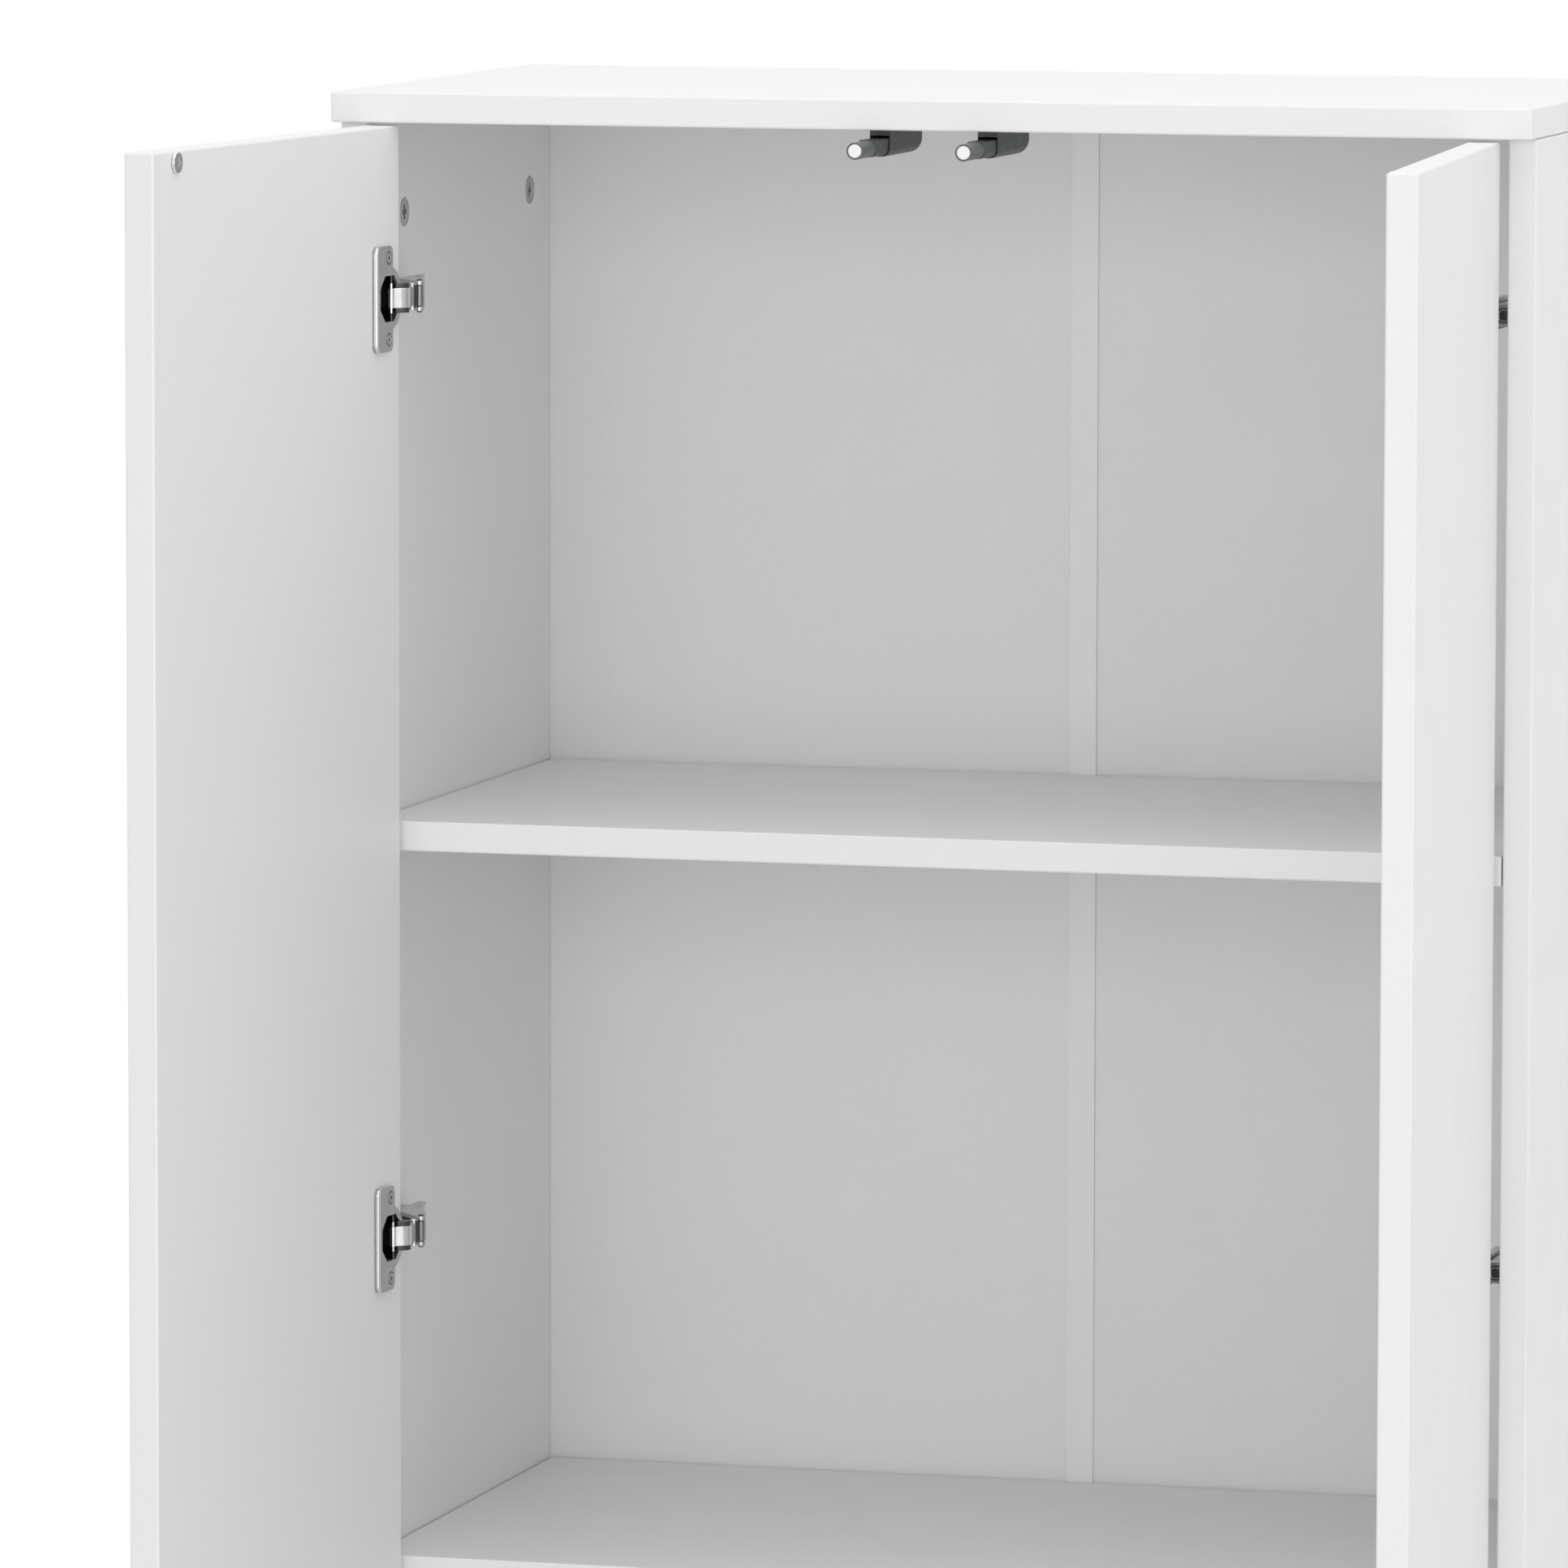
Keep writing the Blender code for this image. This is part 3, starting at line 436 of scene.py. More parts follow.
BOARD = board_finish()
SHEET = sheet_finish()
STRIP = strip_finish()
PLATED = metal_finish("bright_nickel", (0.86, 0.865, 0.86), smooth=0.08, rough=0.18, grain=0.05)
BRUSHED = metal_finish("brushed_nickel", (0.56, 0.565, 0.56), smooth=0.2, rough=0.34, grain=0.08, edge_highlight=1.2)
SATIN = metal_finish("satin_nickel", (0.47, 0.48, 0.475), smooth=0.16, rough=0.28, grain=0.06, edge_highlight=1.3)
# A darker copy of the nickel, painted shade on the links' barrels.
SHADE_PAINTED_NICKEL = metal_finish("shade_painted_nickel", (0.25, 0.255, 0.252), smooth=0.24, rough=0.38, grain=0.08, edge_highlight=1.4)
# Dark metal used as painted shade: cup wells, screw rings, pin ends, link throats and cheeks, arm hollows and
# pins, cam roots.
SHADED = metal_finish("painted_shade_metal", (0.10, 0.102, 0.102), smooth=0.22, rough=0.38, grain=0.1, edge_highlight=1.8)
ZINC = metal_finish("zinc", (0.45, 0.46, 0.455), smooth=0.26, rough=0.42, grain=0.14, edge_highlight=1.4)
GREY = grey_finish("grey_moulding", (0.064, 0.070, 0.071), rough=0.46)
PALE_GREY = grey_finish("grey_moulding_tip", (0.105, 0.113, 0.115), rough=0.42)
PAD = tip_finish()

FINISHES = {"white_board": BOARD, "back_sheet": SHEET, "white_plastic": STRIP, "plated_metal": SATIN,
            "steel": ZINC, "grey_plastic": GREY, "latch_tip": PAD}
for row in frame["record"]["subparts"]:
    for slot in nodes[row["node"]].material_slots:
        slot.material = FINISHES[row["material_slot"]]


# Hinge cups, drawn on the door's inner face

FLANGE_NEAR, FLANGE_FAR = 0.0150, 0.0368
FLANGE_HALF, FLANGE_CORNER = 0.0279, 0.004
CUP_CENTRE, RIM_RADIUS, RIM_STEPS = (0.020, 0), 0.0171, 36
MOUTH_NEAR, MOUTH_FAR = 0.0075, 0.0322
MOUTH_HALF, MOUTH_CORNER, MOUTH_CORNER_SHRINK = 0.012, 0.0065, 0.6
SKIRT_LOW, SKIRT_HIGH, SKIRT_INSET = 0.0003, 0.0013, 0.0002
EDGE_LOW, EDGE_HIGH, EDGE_ROUND = 0.0010, 0.00275, 0.0008
FACE_LOW, FACE_HIGH, FACE_INSET, FACE_CUT = 0.0021, 0.0028, 0.0001, 0.0018
CUP_SCREW_ALONG, CUP_SCREW_UP = 0.0206, 0.0215
CUP_SCREW_LOW, CUP_SCREW_HIGH, CUP_SCREW_RADIUS = 0.0020, 0.0030, 0.0029
CUP_SLOT_LENGTH, CUP_SLOT_WIDTH = 0.0042, 0.0011
RING_HIGH, RING_RADIUS = 0.00288, 0.0036
PIN_RADIUS, PIN_HALF = 0.0008, 0.0080
PIN_END_RADIUS, PIN_END_HALF = 0.0006, 0.0123
WELL_RADIUS, WELL_LOW, WELL_HIGH, WELL_INSET = 0.0155, -0.0106, 0.0007, 0.0002
WELL_FLOOR_RADIUS, WELL_FLOOR_LOW, WELL_FLOOR_HIGH = 0.0152, -0.0109, -0.0094


def flange_outline(inset=0.0, cut=0.0):
    """The cup's wings, cut back on their straight side, and the rim that bulges towards the hinge edge."""
    near, far = FLANGE_NEAR + inset, FLANGE_FAR - inset - cut
    corner, rim = FLANGE_CORNER - inset, RIM_RADIUS - inset
    top = FLANGE_HALF - inset - corner
    meet = math.degrees(math.acos((near - CUP_CENTRE[0]) / rim))
    return [
        *arc((far - corner, top), corner, 0, 90),
        *arc((near + corner, top), corner, 90, 180),
        *arc(CUP_CENTRE, rim, meet, 360 - meet, RIM_STEPS),
        *arc((near + corner, -top), corner, 180, 270),
        *arc((far - corner, -top), corner, 270, 360),
    ]


def mouth_outline(inset=0.0):
    """The opening in the flange, an oblong with cut corners."""
    near, far, top = MOUTH_NEAR + inset, MOUTH_FAR - inset, MOUTH_HALF - inset
    corner = MOUTH_CORNER - MOUTH_CORNER_SHRINK * inset
    upper = [(near, top - corner), (near + corner, top), (far - corner, top), (far, top - corner)]
    return upper + [(x, -y) for x, y in reversed(upper)]


def hinge_cup(side, hand, name, level):
    """A satin flange with two screws, its edge bright as a painted highlight, its bright pin, and the well in its
    mouth, the pin's ends and rings under the screws dark as painted shade.
    """
    body = f"door_{side}"
    face = door_face(hand, level)
    pin = door_plan(hand, level) @ Matrix.Translation((PIN_ALONG, PIN_PROUD, 0))
    mouth = mouth_outline()
    screws = [(CUP_SCREW_ALONG, up * CUP_SCREW_UP) for up in (1, -1)]
    skirt = plate(flange_outline(SKIRT_INSET), SKIRT_LOW, SKIRT_HIGH, [mouth], soft=0.0002, steps=1)
    front = plate(flange_outline(FACE_INSET, FACE_CUT), FACE_LOW, FACE_HIGH, [mouth], soft=0.0002)
    flange = [skirt, front]
    for place in screws:
        head = circle(place, CUP_SCREW_RADIUS, SMALL_STEPS)
        slot = cross_slot(place, CUP_SLOT_LENGTH, CUP_SLOT_WIDTH)
        flange.append(plate(head, CUP_SCREW_LOW, CUP_SCREW_HIGH, [slot], soft=0.0001, steps=1))
    shapes = [(shape, face) for shape in flange]
    piece(f"cup_flange_{side}_{name}", shapes, SATIN, body, [f"hinge_cup_{side}_{name}"])
    # Painted highlight: the flange's rounded edge in bright metal, lighter than its face.
    edge = plate(flange_outline(), EDGE_LOW, EDGE_HIGH, [mouth], soft=EDGE_ROUND, steps=4)
    shapes = [(edge, face), (bar(PIN_RADIUS, -PIN_HALF, PIN_HALF, soft=0.0002), pin)]
    piece(f"cup_edge_{side}_{name}", shapes, PLATED, body)
    # Painted shade: the well, its floor, the pin's ends and a ring under each screw head, which shows in the
    # screws' slots, all in dark metal.
    hole = mouth_outline(WELL_INSET)
    wall = plate(circle(CUP_CENTRE, WELL_RADIUS), WELL_LOW, WELL_HIGH, [hole], soft=0.0002, steps=1)
    floor_disc = circle(CUP_CENTRE, WELL_FLOOR_RADIUS)
    shapes = [
        (wall, face),
        (plate(floor_disc, WELL_FLOOR_LOW, WELL_FLOOR_HIGH, soft=0.0002, steps=1), face),
        (bar(PIN_END_RADIUS, -PIN_END_HALF, PIN_END_HALF, soft=0.0001), pin),
    ]
    for place in screws:
        ring = circle(place, RING_RADIUS, SMALL_STEPS)
        shapes.append((plate(ring, CUP_SCREW_LOW, RING_HIGH, soft=0.00005, steps=1), face))
    piece(f"cup_well_{side}_{name}", shapes, SHADED, body)


# Hinge links, drawn from above with X from the arm's pin to the cup's pin

LINK_LENGTH = (CUP_PIN - ARM_PIN).length
STRAP_ARCH, STRAP_SPAN = 0.0042, 0.0155
ARCH_LEAN, ARCH_FULLNESS = 1.15, 1.25
STRAP_START, STRAP_HALF_THICK, STRAP_HALF = 0.0092, 0.0008, 0.0052
STRAP_STEPS = 70
EYE_RADIUS, EYE_CLEAR, EYE_HOLE = 0.0017, 0.0018, 0.00105
RIVET_ALONG = 0.0070
RIVET = (
    (0.0011, 0.0048), (0.0011, 0.0062), (0.0016, 0.0063),
    (0.0017, 0.0066), (0.0016, 0.0070), (0.0009, 0.0073),
)
NECK_START, NECK_END, NECK_HALF_THICK, NECK_CORNER = 0.0058, 0.0105, 0.00078, 0.0004
THROAT_START, THROAT_END, THROAT_HALF_THICK, THROAT_CORNER = 0.0017, 0.0062, 0.00085, 0.0003
THROAT_HALF = 0.0053
BARREL_RADIUS, BARREL_HOLE = 0.0020, 0.00152
CHEEK_FROM_PIN, CHEEK_STEP, CHEEK_POINTS = 0.0022, 0.0011, 9
CHEEK_LIFT, CHEEK_LOW, CHEEK_HIGH = 0.0006, 0.0051, 0.0078


def link_axes(hand, level):
    run = (CUP_PIN - ARM_PIN).normalized()
    turn = axes((run.x, run.y, 0), (-run.y, run.x, 0), (0, 0, 1), (*ARM_PIN, 0))
    return side_plan(hand, level) @ turn


def strap_middle(along):
    """Half way through the strap: straight by the arm, arched where it swings into the cup's mouth."""
    share = min(1.0, max(0.0, LINK_LENGTH - along) / STRAP_SPAN)
    return Vector((along, STRAP_ARCH * math.sin(math.pi * share ** ARCH_LEAN) ** ARCH_FULLNESS))


def strap_outline():
    """The strap seen from above, from a cut across it to the eye round the cup's pin."""
    reach = LINK_LENGTH - STRAP_START
    line = [strap_middle(STRAP_START + reach * step / STRAP_STEPS) for step in range(STRAP_STEPS + 1)]
    upper, lower = [], []
    pin = Vector((LINK_LENGTH, 0))
    for before, point, after in zip(line, line[1:], line[2:]):
        run = (after - before).normalized()
        offset = Vector((-run.y, run.x)) * STRAP_HALF_THICK
        for edge, corner in ((upper, point + offset), (lower, point - offset)):
            if (corner - pin).length > EYE_CLEAR:
                edge.append(corner)
    first, last = [math.degrees(math.atan2(*(edge[-1] - pin).yx)) % 360 for edge in (upper, lower)]
    eye = arc(pin, EYE_RADIUS, first, last - 360, TINY_STEPS)
    return [*[tuple(point) for point in upper], *eye, *[tuple(point) for point in reversed(lower)]]


def hinge_link(side, hand, name, level):
    """A strap with a rivet, a neck, a barrel at the arm and cheeks at the cup, stepped from bright strap through
    satin neck and darker barrel to dark cheeks as painted shading along one link.
    """
    body = f"link_{side}"
    place = link_axes(hand, level)
    hole = circle((LINK_LENGTH, 0), EYE_HOLE, TINY_STEPS)
    shapes = [(plate(strap_outline(), -STRAP_HALF, STRAP_HALF, [hole], soft=0.00025), place)]
    rivet = place @ Matrix.Translation((RIVET_ALONG, 0, 0))
    for up in (1, -1):
        head = turned([(radius, up * height) for radius, height in RIVET], sides=24)
        shapes.append((head, rivet))
    piece(f"link_strap_{side}_{name}", shapes, PLATED, body, [f"hinge_link_{side}_{name}"])
    # Painted shade: the neck in satin metal, a step darker than the strap.
    neck = rounded(NECK_START, -NECK_HALF_THICK, NECK_END, NECK_HALF_THICK, NECK_CORNER, steps=2)
    shapes = [(plate(neck, -STRAP_HALF, STRAP_HALF, soft=0.0002, steps=1), place)]
    piece(f"link_neck_{side}_{name}", shapes, SATIN, body)
    # Painted shade: the barrel in a darker copy of the nickel.
    bore = circle((0, 0), BARREL_HOLE, steps=24)
    barrel = circle((0, 0), BARREL_RADIUS, steps=28)
    shapes = [(plate(barrel, -STRAP_HALF, STRAP_HALF, [bore], soft=0.0002, steps=1), place)]
    piece(f"link_barrel_{side}_{name}", shapes, SHADE_PAINTED_NICKEL, body)
    # Painted shade: the throat and the cheeks in dark metal.
    thick = THROAT_HALF_THICK
    throat = rounded(THROAT_START, -thick, THROAT_END, thick, THROAT_CORNER, steps=2)
    shapes = [(plate(throat, -THROAT_HALF, THROAT_HALF, soft=0.0002, steps=1), place)]
    cheek = []
    for step in range(CHEEK_POINTS):
        point = strap_middle(LINK_LENGTH - CHEEK_FROM_PIN - CHEEK_STEP * step)
        cheek.append((point.x, point.y + CHEEK_LIFT))
    cheek += [(cheek[-1][0], 0), (cheek[0][0], 0)]
    for low, high in ((CHEEK_LOW, CHEEK_HIGH), (-CHEEK_HIGH, -CHEEK_LOW)):
        shapes.append((plate(cheek, low, high, soft=0.0002, steps=1), place))
    piece(f"link_cheeks_{side}_{name}", shapes, SHADED, body)


# Hinge arms and their plates, drawn on the side panel

ARM_SEAT, ARM_TOP = 0.0093, 0.0138
ARM_FRONT, ARM_BEND, ARM_REAR = 0.016, 0.038, 0.055
ARM_INSET, ARM_END_INSET = 0.0004, 0.0005
ARM_HALF, EAR_INSIDE = 0.0080, 0.0057
CORE_LOW, CORE_HIGH, HOLLOW_HIGH = -0.0072, 0.0062, 0.0060
EAR_RADIUS, LOWER_EAR_RADIUS = 0.0024, 0.0022
UPPER_EAR = [
    (ARM_SEAT, ARM_REAR), (ARM_SEAT, ARM_FRONT), *arc(ARM_PIN, EAR_RADIUS, 225, 390, steps=18),
    (0.0265, 0.0150), (ARM_TOP, ARM_BEND), (ARM_TOP, ARM_REAR),
]
LOWER_EAR = [(0.0262, 0.0120), (0.0190, 0.0120), *arc(ARM_PIN, LOWER_EAR_RADIUS, 215, 390, steps=18)]
ARM_HOLLOW = [
    (ARM_SEAT + ARM_INSET, ARM_REAR - ARM_END_INSET), (ARM_SEAT + ARM_INSET, ARM_FRONT + ARM_END_INSET),
    (0.0197, 0.0064), (0.0230, 0.0064),
    (0.0120, ARM_BEND - ARM_END_INSET), (0.0120, ARM_REAR - ARM_END_INSET),
]
ARM_CORE = [
    (0.0225, 0.0066), (0.0263, 0.0064), (0.0263, 0.0148),
    (ARM_TOP - ARM_INSET, ARM_BEND - ARM_END_INSET), (ARM_TOP - ARM_INSET, ARM_REAR - ARM_END_INSET),
    (0.0115, ARM_REAR - ARM_END_INSET), (0.0115, ARM_BEND - ARM_END_INSET),
]
ARM_HOLE_PLACE, ARM_HOLE_RADIUS = (0.0190, 0.0125), 0.0011
ARM_PIN_RADIUS, ARM_PIN_HALF = 0.0014, 0.0088
ARM_SCREWS = (0.0425, 0.0044), (0.0500, 0.0036)
ARM_SCREW_RADIUS, ARM_SCREW_SUNK, ARM_SCREW_PROUD = 0.0030, 0.001, 0.0006
SLOT_WIDTH, ARM_SLOT_DEPTH, PLATE_SLOT_DEPTH = 0.0010, 0.0008, 0.0009
WING_FRONT, WING_REAR, WING_HALF, WING_HIGH, WING_CORNER = 0.030, 0.044, 0.024, 0.0028, 0.005
SPINE_HALF, SPINE_HIGH, SPINE_CORNER = 0.006, 0.0090, 0.0012
PLATE_LOW = 0.0003
# The mouth at the spine's front end, dark as painted shade, and its lip: two corners and a corner radius, then
# front and back
SPINE_MOUTH, SPINE_MOUTH_DEPTHS = (0.0008, -0.0041, 0.0087, 0.0036, 0.0028), (0.0155, 0.0165)
LIP, LIP_DEPTHS = (0.0016, -0.0033, 0.0079, 0.0028, 0.0022), (0.0151, 0.0158)
LIP_INSIDE = (0.0021, -0.0028, 0.0074, 0.0023, 0.0017)
PLATE_SCREW_DEPTH, PLATE_SCREW_UP = 0.037, 0.016
PLATE_SCREW_RADIUS, PLATE_SCREW_HOLE = 0.0034, 0.0035
PLATE_SCREW_LOW, PLATE_SCREW_HIGH, PLATE_SLOT = 0.0006, 0.0026, 0.0044


def hinge_arm(side, hand, name, level):
    """A folded channel with two ears at its pin and two screws in its top, its hollow, its pin and the spine's
    mouth in dark metal as painted shade.
    """
    plan = side_plan(hand, level)
    pin = plan @ Matrix.Translation((*ARM_PIN, 0))
    hole = circle(ARM_HOLE_PLACE, ARM_HOLE_RADIUS, TINY_STEPS)
    # Painted shade: the hollow, the pin and the mouth at the spine's front in dark metal.
    shapes = [
        (plate(ARM_HOLLOW, -ARM_HALF, HOLLOW_HIGH, soft=0.0003, steps=1), plan),
        (bar(ARM_PIN_RADIUS, -ARM_PIN_HALF, ARM_PIN_HALF, soft=0.0003), pin),
        (plate(rounded(*SPINE_MOUTH), *SPINE_MOUTH_DEPTHS, soft=0.0001, steps=1), side_end(hand, level)),
    ]
    piece(f"arm_hollow_{side}_{name}", shapes, SHADED, "carcass")
    shapes = [
        (plate(ARM_CORE, CORE_LOW, CORE_HIGH, soft=0.0004), plan),
        (plate(UPPER_EAR, EAR_INSIDE, ARM_HALF, [hole], soft=0.0004), plan),
        (plate(LOWER_EAR, -ARM_HALF, -EAR_INSIDE, soft=0.0004), plan),
    ]
    low, high = ARM_TOP - ARM_SCREW_SUNK, ARM_TOP + ARM_SCREW_PROUD
    for depth, slot in ARM_SCREWS:
        head = slotted_head((depth, 0), ARM_SCREW_RADIUS, low, high, slot, SLOT_WIDTH, ARM_SLOT_DEPTH)
        shapes += [(shape, side_face(hand, level)) for shape in head]
    solid = f"hinge_arm_{side}_{name}"
    piece(f"arm_channel_{side}_{name}", shapes, BRUSHED, "carcass", [solid])


def hinge_plate(side, hand, name, level):
    """A spine under the arm with a lip at its front end, and wings above and below with their screws."""
    face = side_face(hand, level)
    screws = [(PLATE_SCREW_DEPTH, up * PLATE_SCREW_UP) for up in (1, -1)]
    holes = [circle(place, PLATE_SCREW_HOLE, SMALL_STEPS) for place in screws]
    wing = rounded(WING_FRONT, -WING_HALF, WING_REAR, WING_HALF, WING_CORNER)
    spine = rounded(ARM_FRONT, -SPINE_HALF, ARM_REAR, SPINE_HALF, SPINE_CORNER)
    lip = plate(rounded(*LIP), *LIP_DEPTHS, [rounded(*LIP_INSIDE)], soft=0.0001, steps=1)
    shapes = [
        (plate(wing, PLATE_LOW, WING_HIGH, holes, soft=0.0007), face),
        (plate(spine, PLATE_LOW, SPINE_HIGH, soft=0.0006), face),
        (lip, side_end(hand, level)),
    ]
    low, high = PLATE_SCREW_LOW, PLATE_SCREW_HIGH
    for place in screws:
        head = slotted_head(place, PLATE_SCREW_RADIUS, low, high, PLATE_SLOT, SLOT_WIDTH, PLATE_SLOT_DEPTH)
        shapes += [(shape, face) for shape in head]
    solid = f"hinge_plate_{side}_{name}"
    piece(f"arm_plate_{side}_{name}", shapes, SATIN, "carcass", [solid])


# Push latches, drawn from the front

# Rings have a width, a top, a bottom and a radius for their lower corners
SHELL = 0.0110, 0.0093, -0.00525, 0.0043
ROOM = 0.0100, 0.0058, -0.00475, 0.0038
BLOCK = 0.0094, 0.00445, -0.00445, 0.0035
UPPER_CORNER = 0.0005
SHELL_SOFT, SHELL_LONGER = 0.0003, 0.003073
CROWN, CROWN_INSET = 0.0002, 0.0005
SWEEP_RUN, SWEEP_RISE, SWEEP_STEPS = 0.0095, 0.0030, 10
ROOM_REAR, ROOM_SET_BACK = 0.0512, 0.0002
BLOCK_INSIDE = 0.009
# The block's soft front edge: how far back and how far in each ring is
BLOCK_SOFT = (0.0, 0.0004), (0.0001, 0.00015), (0.0004, 0.0)
NOSE_LENGTH = 0.0256
NOSE = (
    (0.0036, 0.0012), (0.0036, 0.0002), (0.0038, 0.0), (0.0043, 0.0), (0.0045, 0.0002), (0.0045, 0.0014),
    (0.0043, 0.0016), (0.0043, 0.0020), (0.0044, 0.0022), (0.0044, NOSE_LENGTH + 0.001),
)
TIP_PAD = (
    (0.0, 0.0012), (0.0035, 0.0012), (0.0035, 0.0), (0.0033, -0.00017), (0.0028, -0.0002), (0.0, -0.0002),
)


def latch_ring(width, top, bottom, radius, depth, inset=0.0):
    """Upright ring with a flat top, small upper corners and round lower corners."""
    half, top, bottom, radius = width / 2 - inset, top - inset, bottom + inset, radius - inset
    small = UPPER_CORNER
    points = [
        *arc((half - small, top - small), small, 0, 90, steps=3),
        *arc((small - half, top - small), small, 90, 180, steps=3),
        *arc((radius - half, bottom + radius), radius, 180, 270, steps=10),
        *arc((half - radius, bottom + radius), radius, 270, 360, steps=10),
    ]
    return [(x, y, depth) for x, y in points]


def latch_housing(side):
    """A thin shell, open at the front, its lower rear corner swept up."""
    low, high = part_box(f"push_latch_housing_{side}")
    front, rear = low.y, high.y + SHELL_LONGER
    width, top, bottom, radius = SHELL
    bend = rear - SWEEP_RUN
    rings = [
        latch_ring(*ROOM, ROOM_REAR),
        latch_ring(*ROOM, front + ROOM_SET_BACK),
        latch_ring(*SHELL, front, inset=SHELL_SOFT),
        latch_ring(*SHELL, front + SHELL_SOFT),
        latch_ring(*SHELL, bend),
    ]
    for step in range(1, SWEEP_STEPS + 1):
        angle = math.pi / 2 * step / SWEEP_STEPS
        lift = SWEEP_RISE * (1 - math.cos(angle))
        rings.append(latch_ring(width, top, bottom + lift, radius, bend + SWEEP_RUN * math.sin(angle)))
    rings.append(latch_ring(width, top, bottom + SWEEP_RISE, radius, rear + CROWN, inset=CROWN_INSET))
    shapes = [(loft(rings), latch_ends(side))]
    piece(f"latch_shell_{side}", shapes, GREY, "carcass", [f"push_latch_housing_{side}"])


def latch_plunger(side):
    """The sliding block with a round nose, a ring at its end and a white pad let in."""
    body = f"plunger_{side}"
    ends = latch_ends(side)
    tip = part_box(f"push_latch_plunger_{side}")[0].y
    front = tip + NOSE_LENGTH
    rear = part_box(f"push_latch_housing_{side}")[0].y + BLOCK_INSIDE
    rings = [latch_ring(*BLOCK, front + back, inset) for back, inset in BLOCK_SOFT]
    rings.append(latch_ring(*BLOCK, rear))
    place = ends @ Matrix.Translation((0, 0, tip))
    block = [(loft(rings), ends)]
    piece(f"latch_block_{side}", block, GREY, body, [f"push_latch_plunger_{side}"])
    piece(f"latch_nose_{side}", [(turned(NOSE, ROUND_STEPS), place)], PALE_GREY, body)
    pad = [(turned(TIP_PAD), place)]
    piece(f"latch_pad_{side}", pad, PAD, body, [f"push_latch_tip_{side}"])


# Strike discs, cam locks and shelf pins

STRIKE_FACE_RADIUS, STRIKE_LOW, STRIKE_HIGH = 0.0051, 0.0010, 0.0017
STRIKE_SLOT, STRIKE_SLOT_WIDTH, STRIKE_SLOT_DEPTH = 0.0050, 0.0012, 0.0004
STRIKE_RIM, STRIKE_RIM_INSIDE, STRIKE_RIM_LOW, STRIKE_RIM_HIGH = 0.0055, 0.0049, 0.0003, 0.0016
CAM_FACE_RADIUS, CAM_LOW, CAM_HIGH = 0.0068, -0.0100, 0.0001
CAM_SLOT, CAM_SLOT_WIDTH, CAM_SLOT_DEPTH = 0.0078, 0.0026, 0.0016
CAM_RIM, CAM_RIM_INSIDE, CAM_RIM_LOW, CAM_RIM_HIGH = 0.0075, 0.0067, -0.0009, 0.0003
SHELF_PIN = (
    (0.0019, -0.008), (0.0025, -0.0074), (0.0025, 0.0004), (0.0022, 0.0006), (0.0022, 0.0010),
    (0.0025, 0.0012), (0.0025, 0.0080), (0.0022, 0.0087), (0.0012, 0.0090),
)


def strike_disc(side, hand):
    """A bright-edged disc with a screw's cross in its dull face."""
    body = f"door_{side}"
    spot = middle(f"strike_disc_{side}")
    face = door_face(hand, spot.z)
    centre = ((face.inverted() @ spot).x, 0)
    slot = STRIKE_SLOT, STRIKE_SLOT_WIDTH, STRIKE_SLOT_DEPTH
    top, root = slotted_head(centre, STRIKE_FACE_RADIUS, STRIKE_LOW, STRIKE_HIGH, *slot, soft=0.0001)
    inside = circle(centre, STRIKE_RIM_INSIDE)
    rim = plate(circle(centre, STRIKE_RIM), STRIKE_RIM_LOW, STRIKE_RIM_HIGH, [inside], soft=0.0002)
    piece(f"strike_{side}", [(top, face)], ZINC, body, [f"strike_disc_{side}"])
    piece(f"strike_rim_{side}", [(rim, face)], PLATED, body)
    piece(f"strike_root_{side}", [(root, face)], SATIN, body)


def cam_lock(side, hand, place):
    """A cam's body in the panel, a deep cross in its face over a root dark as painted shade, and a thin bright rim
    round it.
    """
    spot = middle(f"cam_lock_{side}_{place}")
    face = side_face(hand, spot.z)
    centre = (spot.y - SIDE_FRONT, 0)
    slot = CAM_SLOT, CAM_SLOT_WIDTH, CAM_SLOT_DEPTH
    top, root = slotted_head(centre, CAM_FACE_RADIUS, CAM_LOW, CAM_HIGH, *slot)
    inside = circle(centre, CAM_RIM_INSIDE)
    rim = plate(circle(centre, CAM_RIM), CAM_RIM_LOW, CAM_RIM_HIGH, [inside], soft=0.0002)
    shapes = [(top, face), (rim, face)]
    piece(f"cam_{side}_{place}", shapes, ZINC, "carcass", [f"cam_lock_{side}_{place}"])
    # Painted shade: the root under the cross in dark metal, so the slot shows dark.
    piece(f"cam_root_{side}_{place}", [(root, face)], SHADED, "carcass")


def shelf_pin(side, hand, shelf, place):
    """A pin with a rounded end and a ring groove by the panel."""
    node = f"shelf_pin_{shelf}_{side}_{place}"
    spot = middle(node)
    face = side_face(hand, spot.z) @ Matrix.Translation((spot.y - SIDE_FRONT, 0, 0))
    shapes = [(turned(SHELF_PIN, sides=28), face)]
    piece(f"pin_{shelf}_{side}_{place}", shapes, ZINC, "carcass", [node])


for side, hand in SIDES:
    for name in HINGES:
        level = middle(f"hinge_plate_{side}_{name}").z
        hinge_cup(side, hand, name, level)
        hinge_link(side, hand, name, level)
        hinge_arm(side, hand, name, level)
        hinge_plate(side, hand, name, level)
    latch_housing(side)
    latch_plunger(side)
    strike_disc(side, hand)
    for place in DEPTHS:
        cam_lock(side, hand, place)
    for shelf in SHELVES:
        for place in DEPTHS:
            shelf_pin(side, hand, shelf, place)


# Floor, light and camera

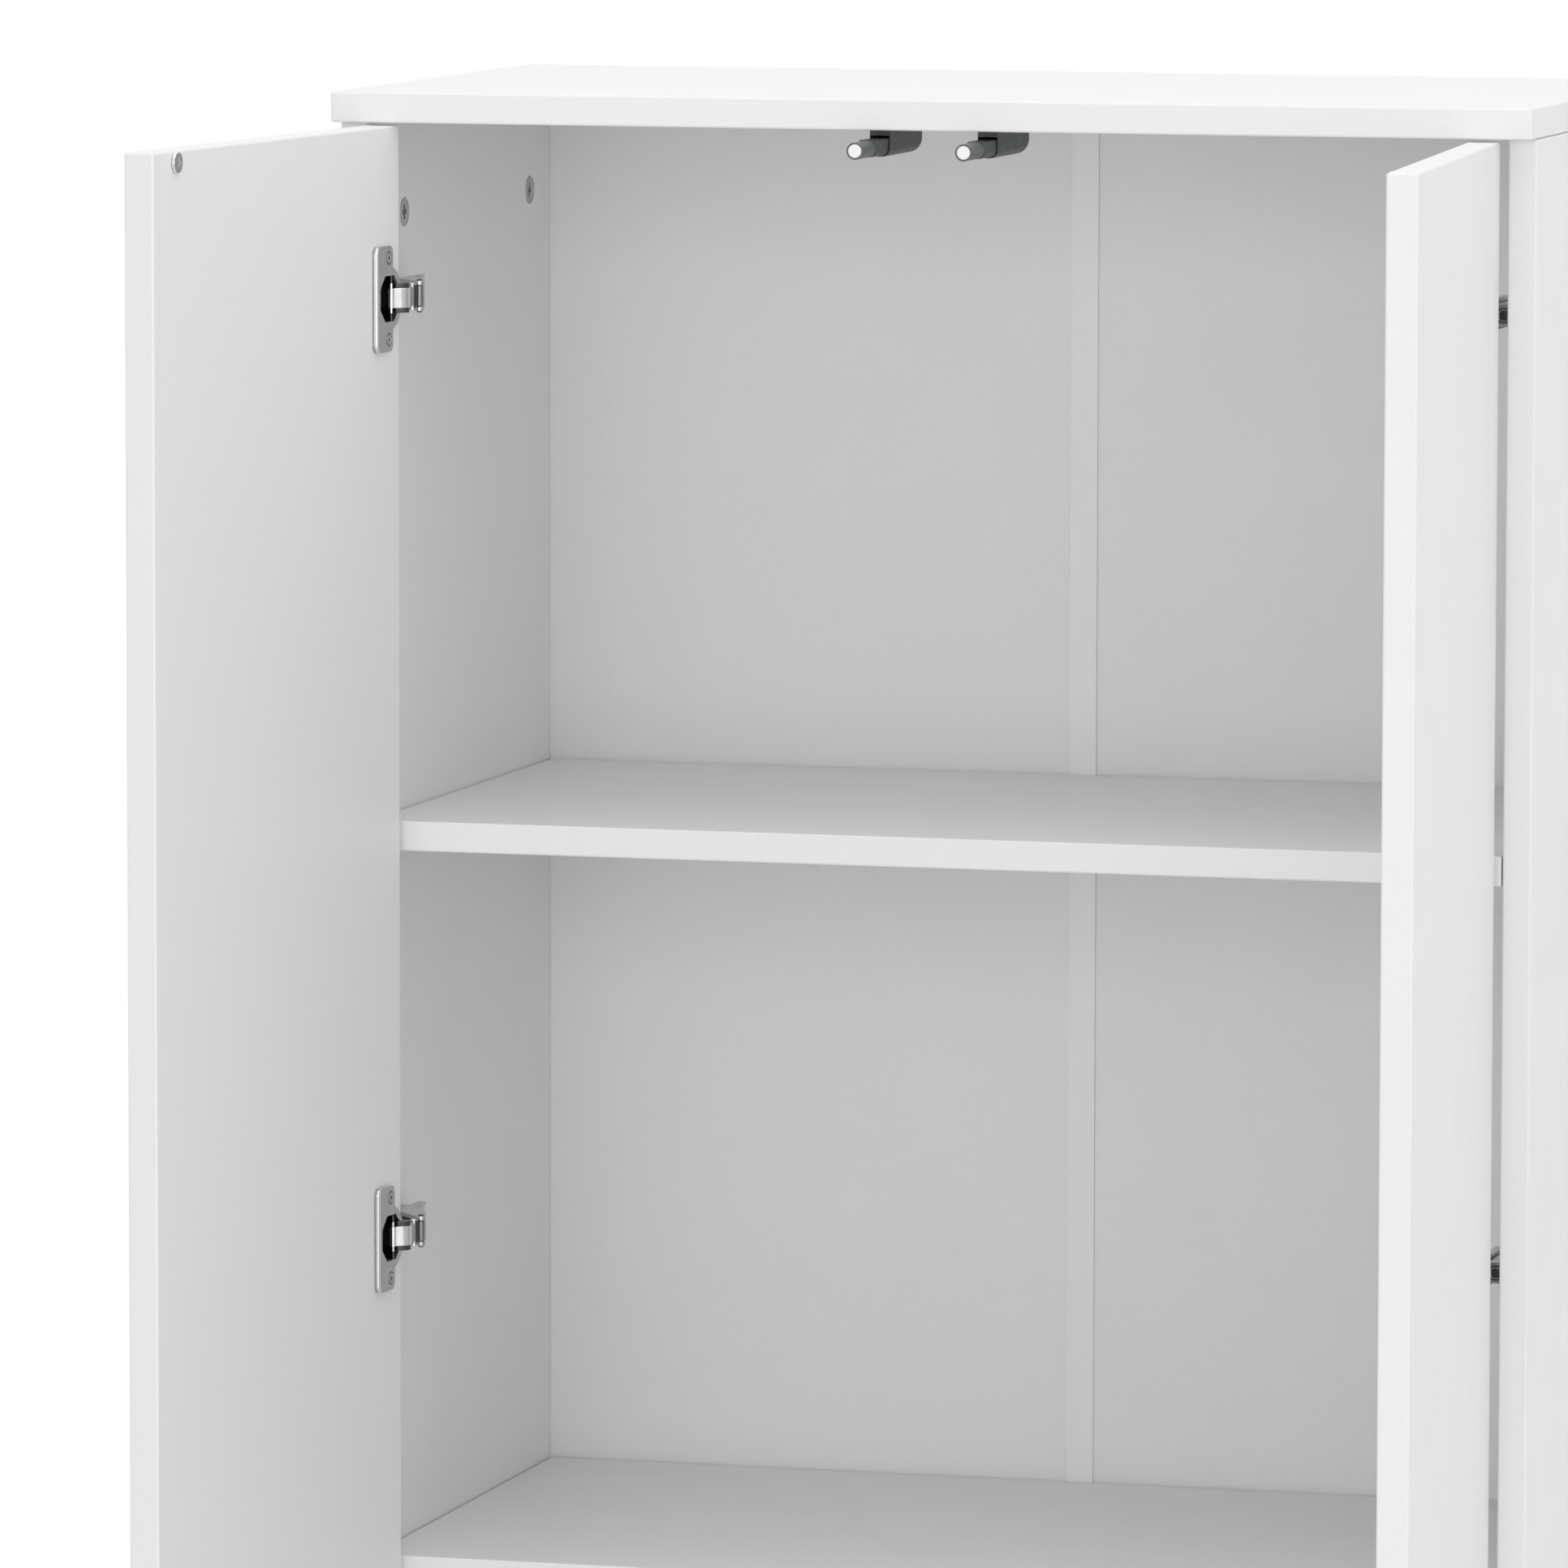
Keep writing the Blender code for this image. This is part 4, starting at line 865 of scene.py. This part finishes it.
FLOOR_HALF, FLOOR_FORWARD = 1.7, 0.1
FLOOR_DARK, FLOOR_GREY, FLOOR_LIGHT = (0.79, 0.79, 0.79), (0.8, 0.8, 0.8), (0.81, 0.81, 0.81)
WORLD_STRENGTH = 0.625
LAMP_SIDE = 3.0
LAMPS = (
    ("overhead", (0, -0.2, 3.2), (0, 0, 1.25), 23),
    ("front", (0.2, -6.6, 1.5), (0, 0, 0.9), 63),
    ("front_right", (2.6, -6.0, 1.5), (0, 0, 0.9), 30),
    ("right", (4.6, -1.6, 2.6), (0.2, 0, 0.9), 46),
)
CAMERA_PLACE = (1.5157, -5.6997, 1.5171)
CAMERA_RIGHT = (0.96291, 0.26982, 0.00179)
CAMERA_UP = (-0.030169, 0.101069, 0.99442)
CAMERA_BACK = (0.26814, -0.95759, 0.10546)
CAMERA_LENS, SENSOR_WIDTH, CAMERA_REACH = 260.5, 36.0, 100.0


def floor():
    """A small pale floor that keeps the cupboard's shadow."""
    shape = bmesh.new()
    bmesh.ops.create_grid(shape, x_segments=1, y_segments=1, size=FLOOR_HALF)
    bmesh.ops.translate(shape, vec=(0, -FLOOR_FORWARD, 0), verts=shape.verts)
    mesh = bpy.data.meshes.new("floor")
    shape.to_mesh(mesh)
    shape.free()
    made = Finish("pale_floor", FLOOR_GREY, roughness=0.7)
    made.colour(made.mix(made.between(made.noise(scale=40, detail=4.0), *MOST), FLOOR_DARK, FLOOR_LIGHT))
    mesh.materials.append(made.material)
    ground = bpy.data.objects.new("floor", mesh)
    scene.collection.objects.link(ground)


def studio():
    """White to the eye and in reflections, and a plain even light for the rest."""
    world = bpy.data.worlds.new("studio")
    scene.world = world
    world.use_nodes = True
    tree = world.node_tree
    background = tree.nodes["Background"]
    background.inputs["Color"].default_value = (1, 1, 1, 1)
    path = tree.nodes.new("ShaderNodeLightPath")
    seen = path.outputs["Is Camera Ray"]
    for name in ("Is Glossy Ray", "Is Transmission Ray"):
        either = tree.nodes.new("ShaderNodeMath")
        either.operation = "MAXIMUM"
        tree.links.new(seen, either.inputs[0])
        tree.links.new(path.outputs[name], either.inputs[1])
        seen = either.outputs[0]
    level = tree.nodes.new("ShaderNodeMapRange")
    level.inputs["To Min"].default_value = WORLD_STRENGTH
    level.inputs["To Max"].default_value = 1.0
    tree.links.new(seen, level.inputs["Value"])
    tree.links.new(level.outputs["Result"], background.inputs["Strength"])


def lamp(name, place, target, power):
    """A square soft light that faces its target."""
    data = bpy.data.lights.new(name, "AREA")
    data.shape = "SQUARE"
    data.size = LAMP_SIDE
    data.energy = power
    made = bpy.data.objects.new(name, data)
    made.location = place
    made.rotation_euler = (Vector(target) - Vector(place)).to_track_quat("-Z", "Y").to_euler()
    scene.collection.objects.link(made)


def camera():
    """The photograph's viewpoint."""
    data = bpy.data.cameras.new("camera")
    data.lens = CAMERA_LENS
    data.sensor_width = SENSOR_WIDTH
    data.clip_end = CAMERA_REACH
    made = bpy.data.objects.new("camera", data)
    made.matrix_world = axes(CAMERA_RIGHT, CAMERA_UP, CAMERA_BACK, CAMERA_PLACE)
    scene.collection.objects.link(made)
    scene.camera = made


floor()
studio()
for row in LAMPS:
    lamp(*row)
camera()
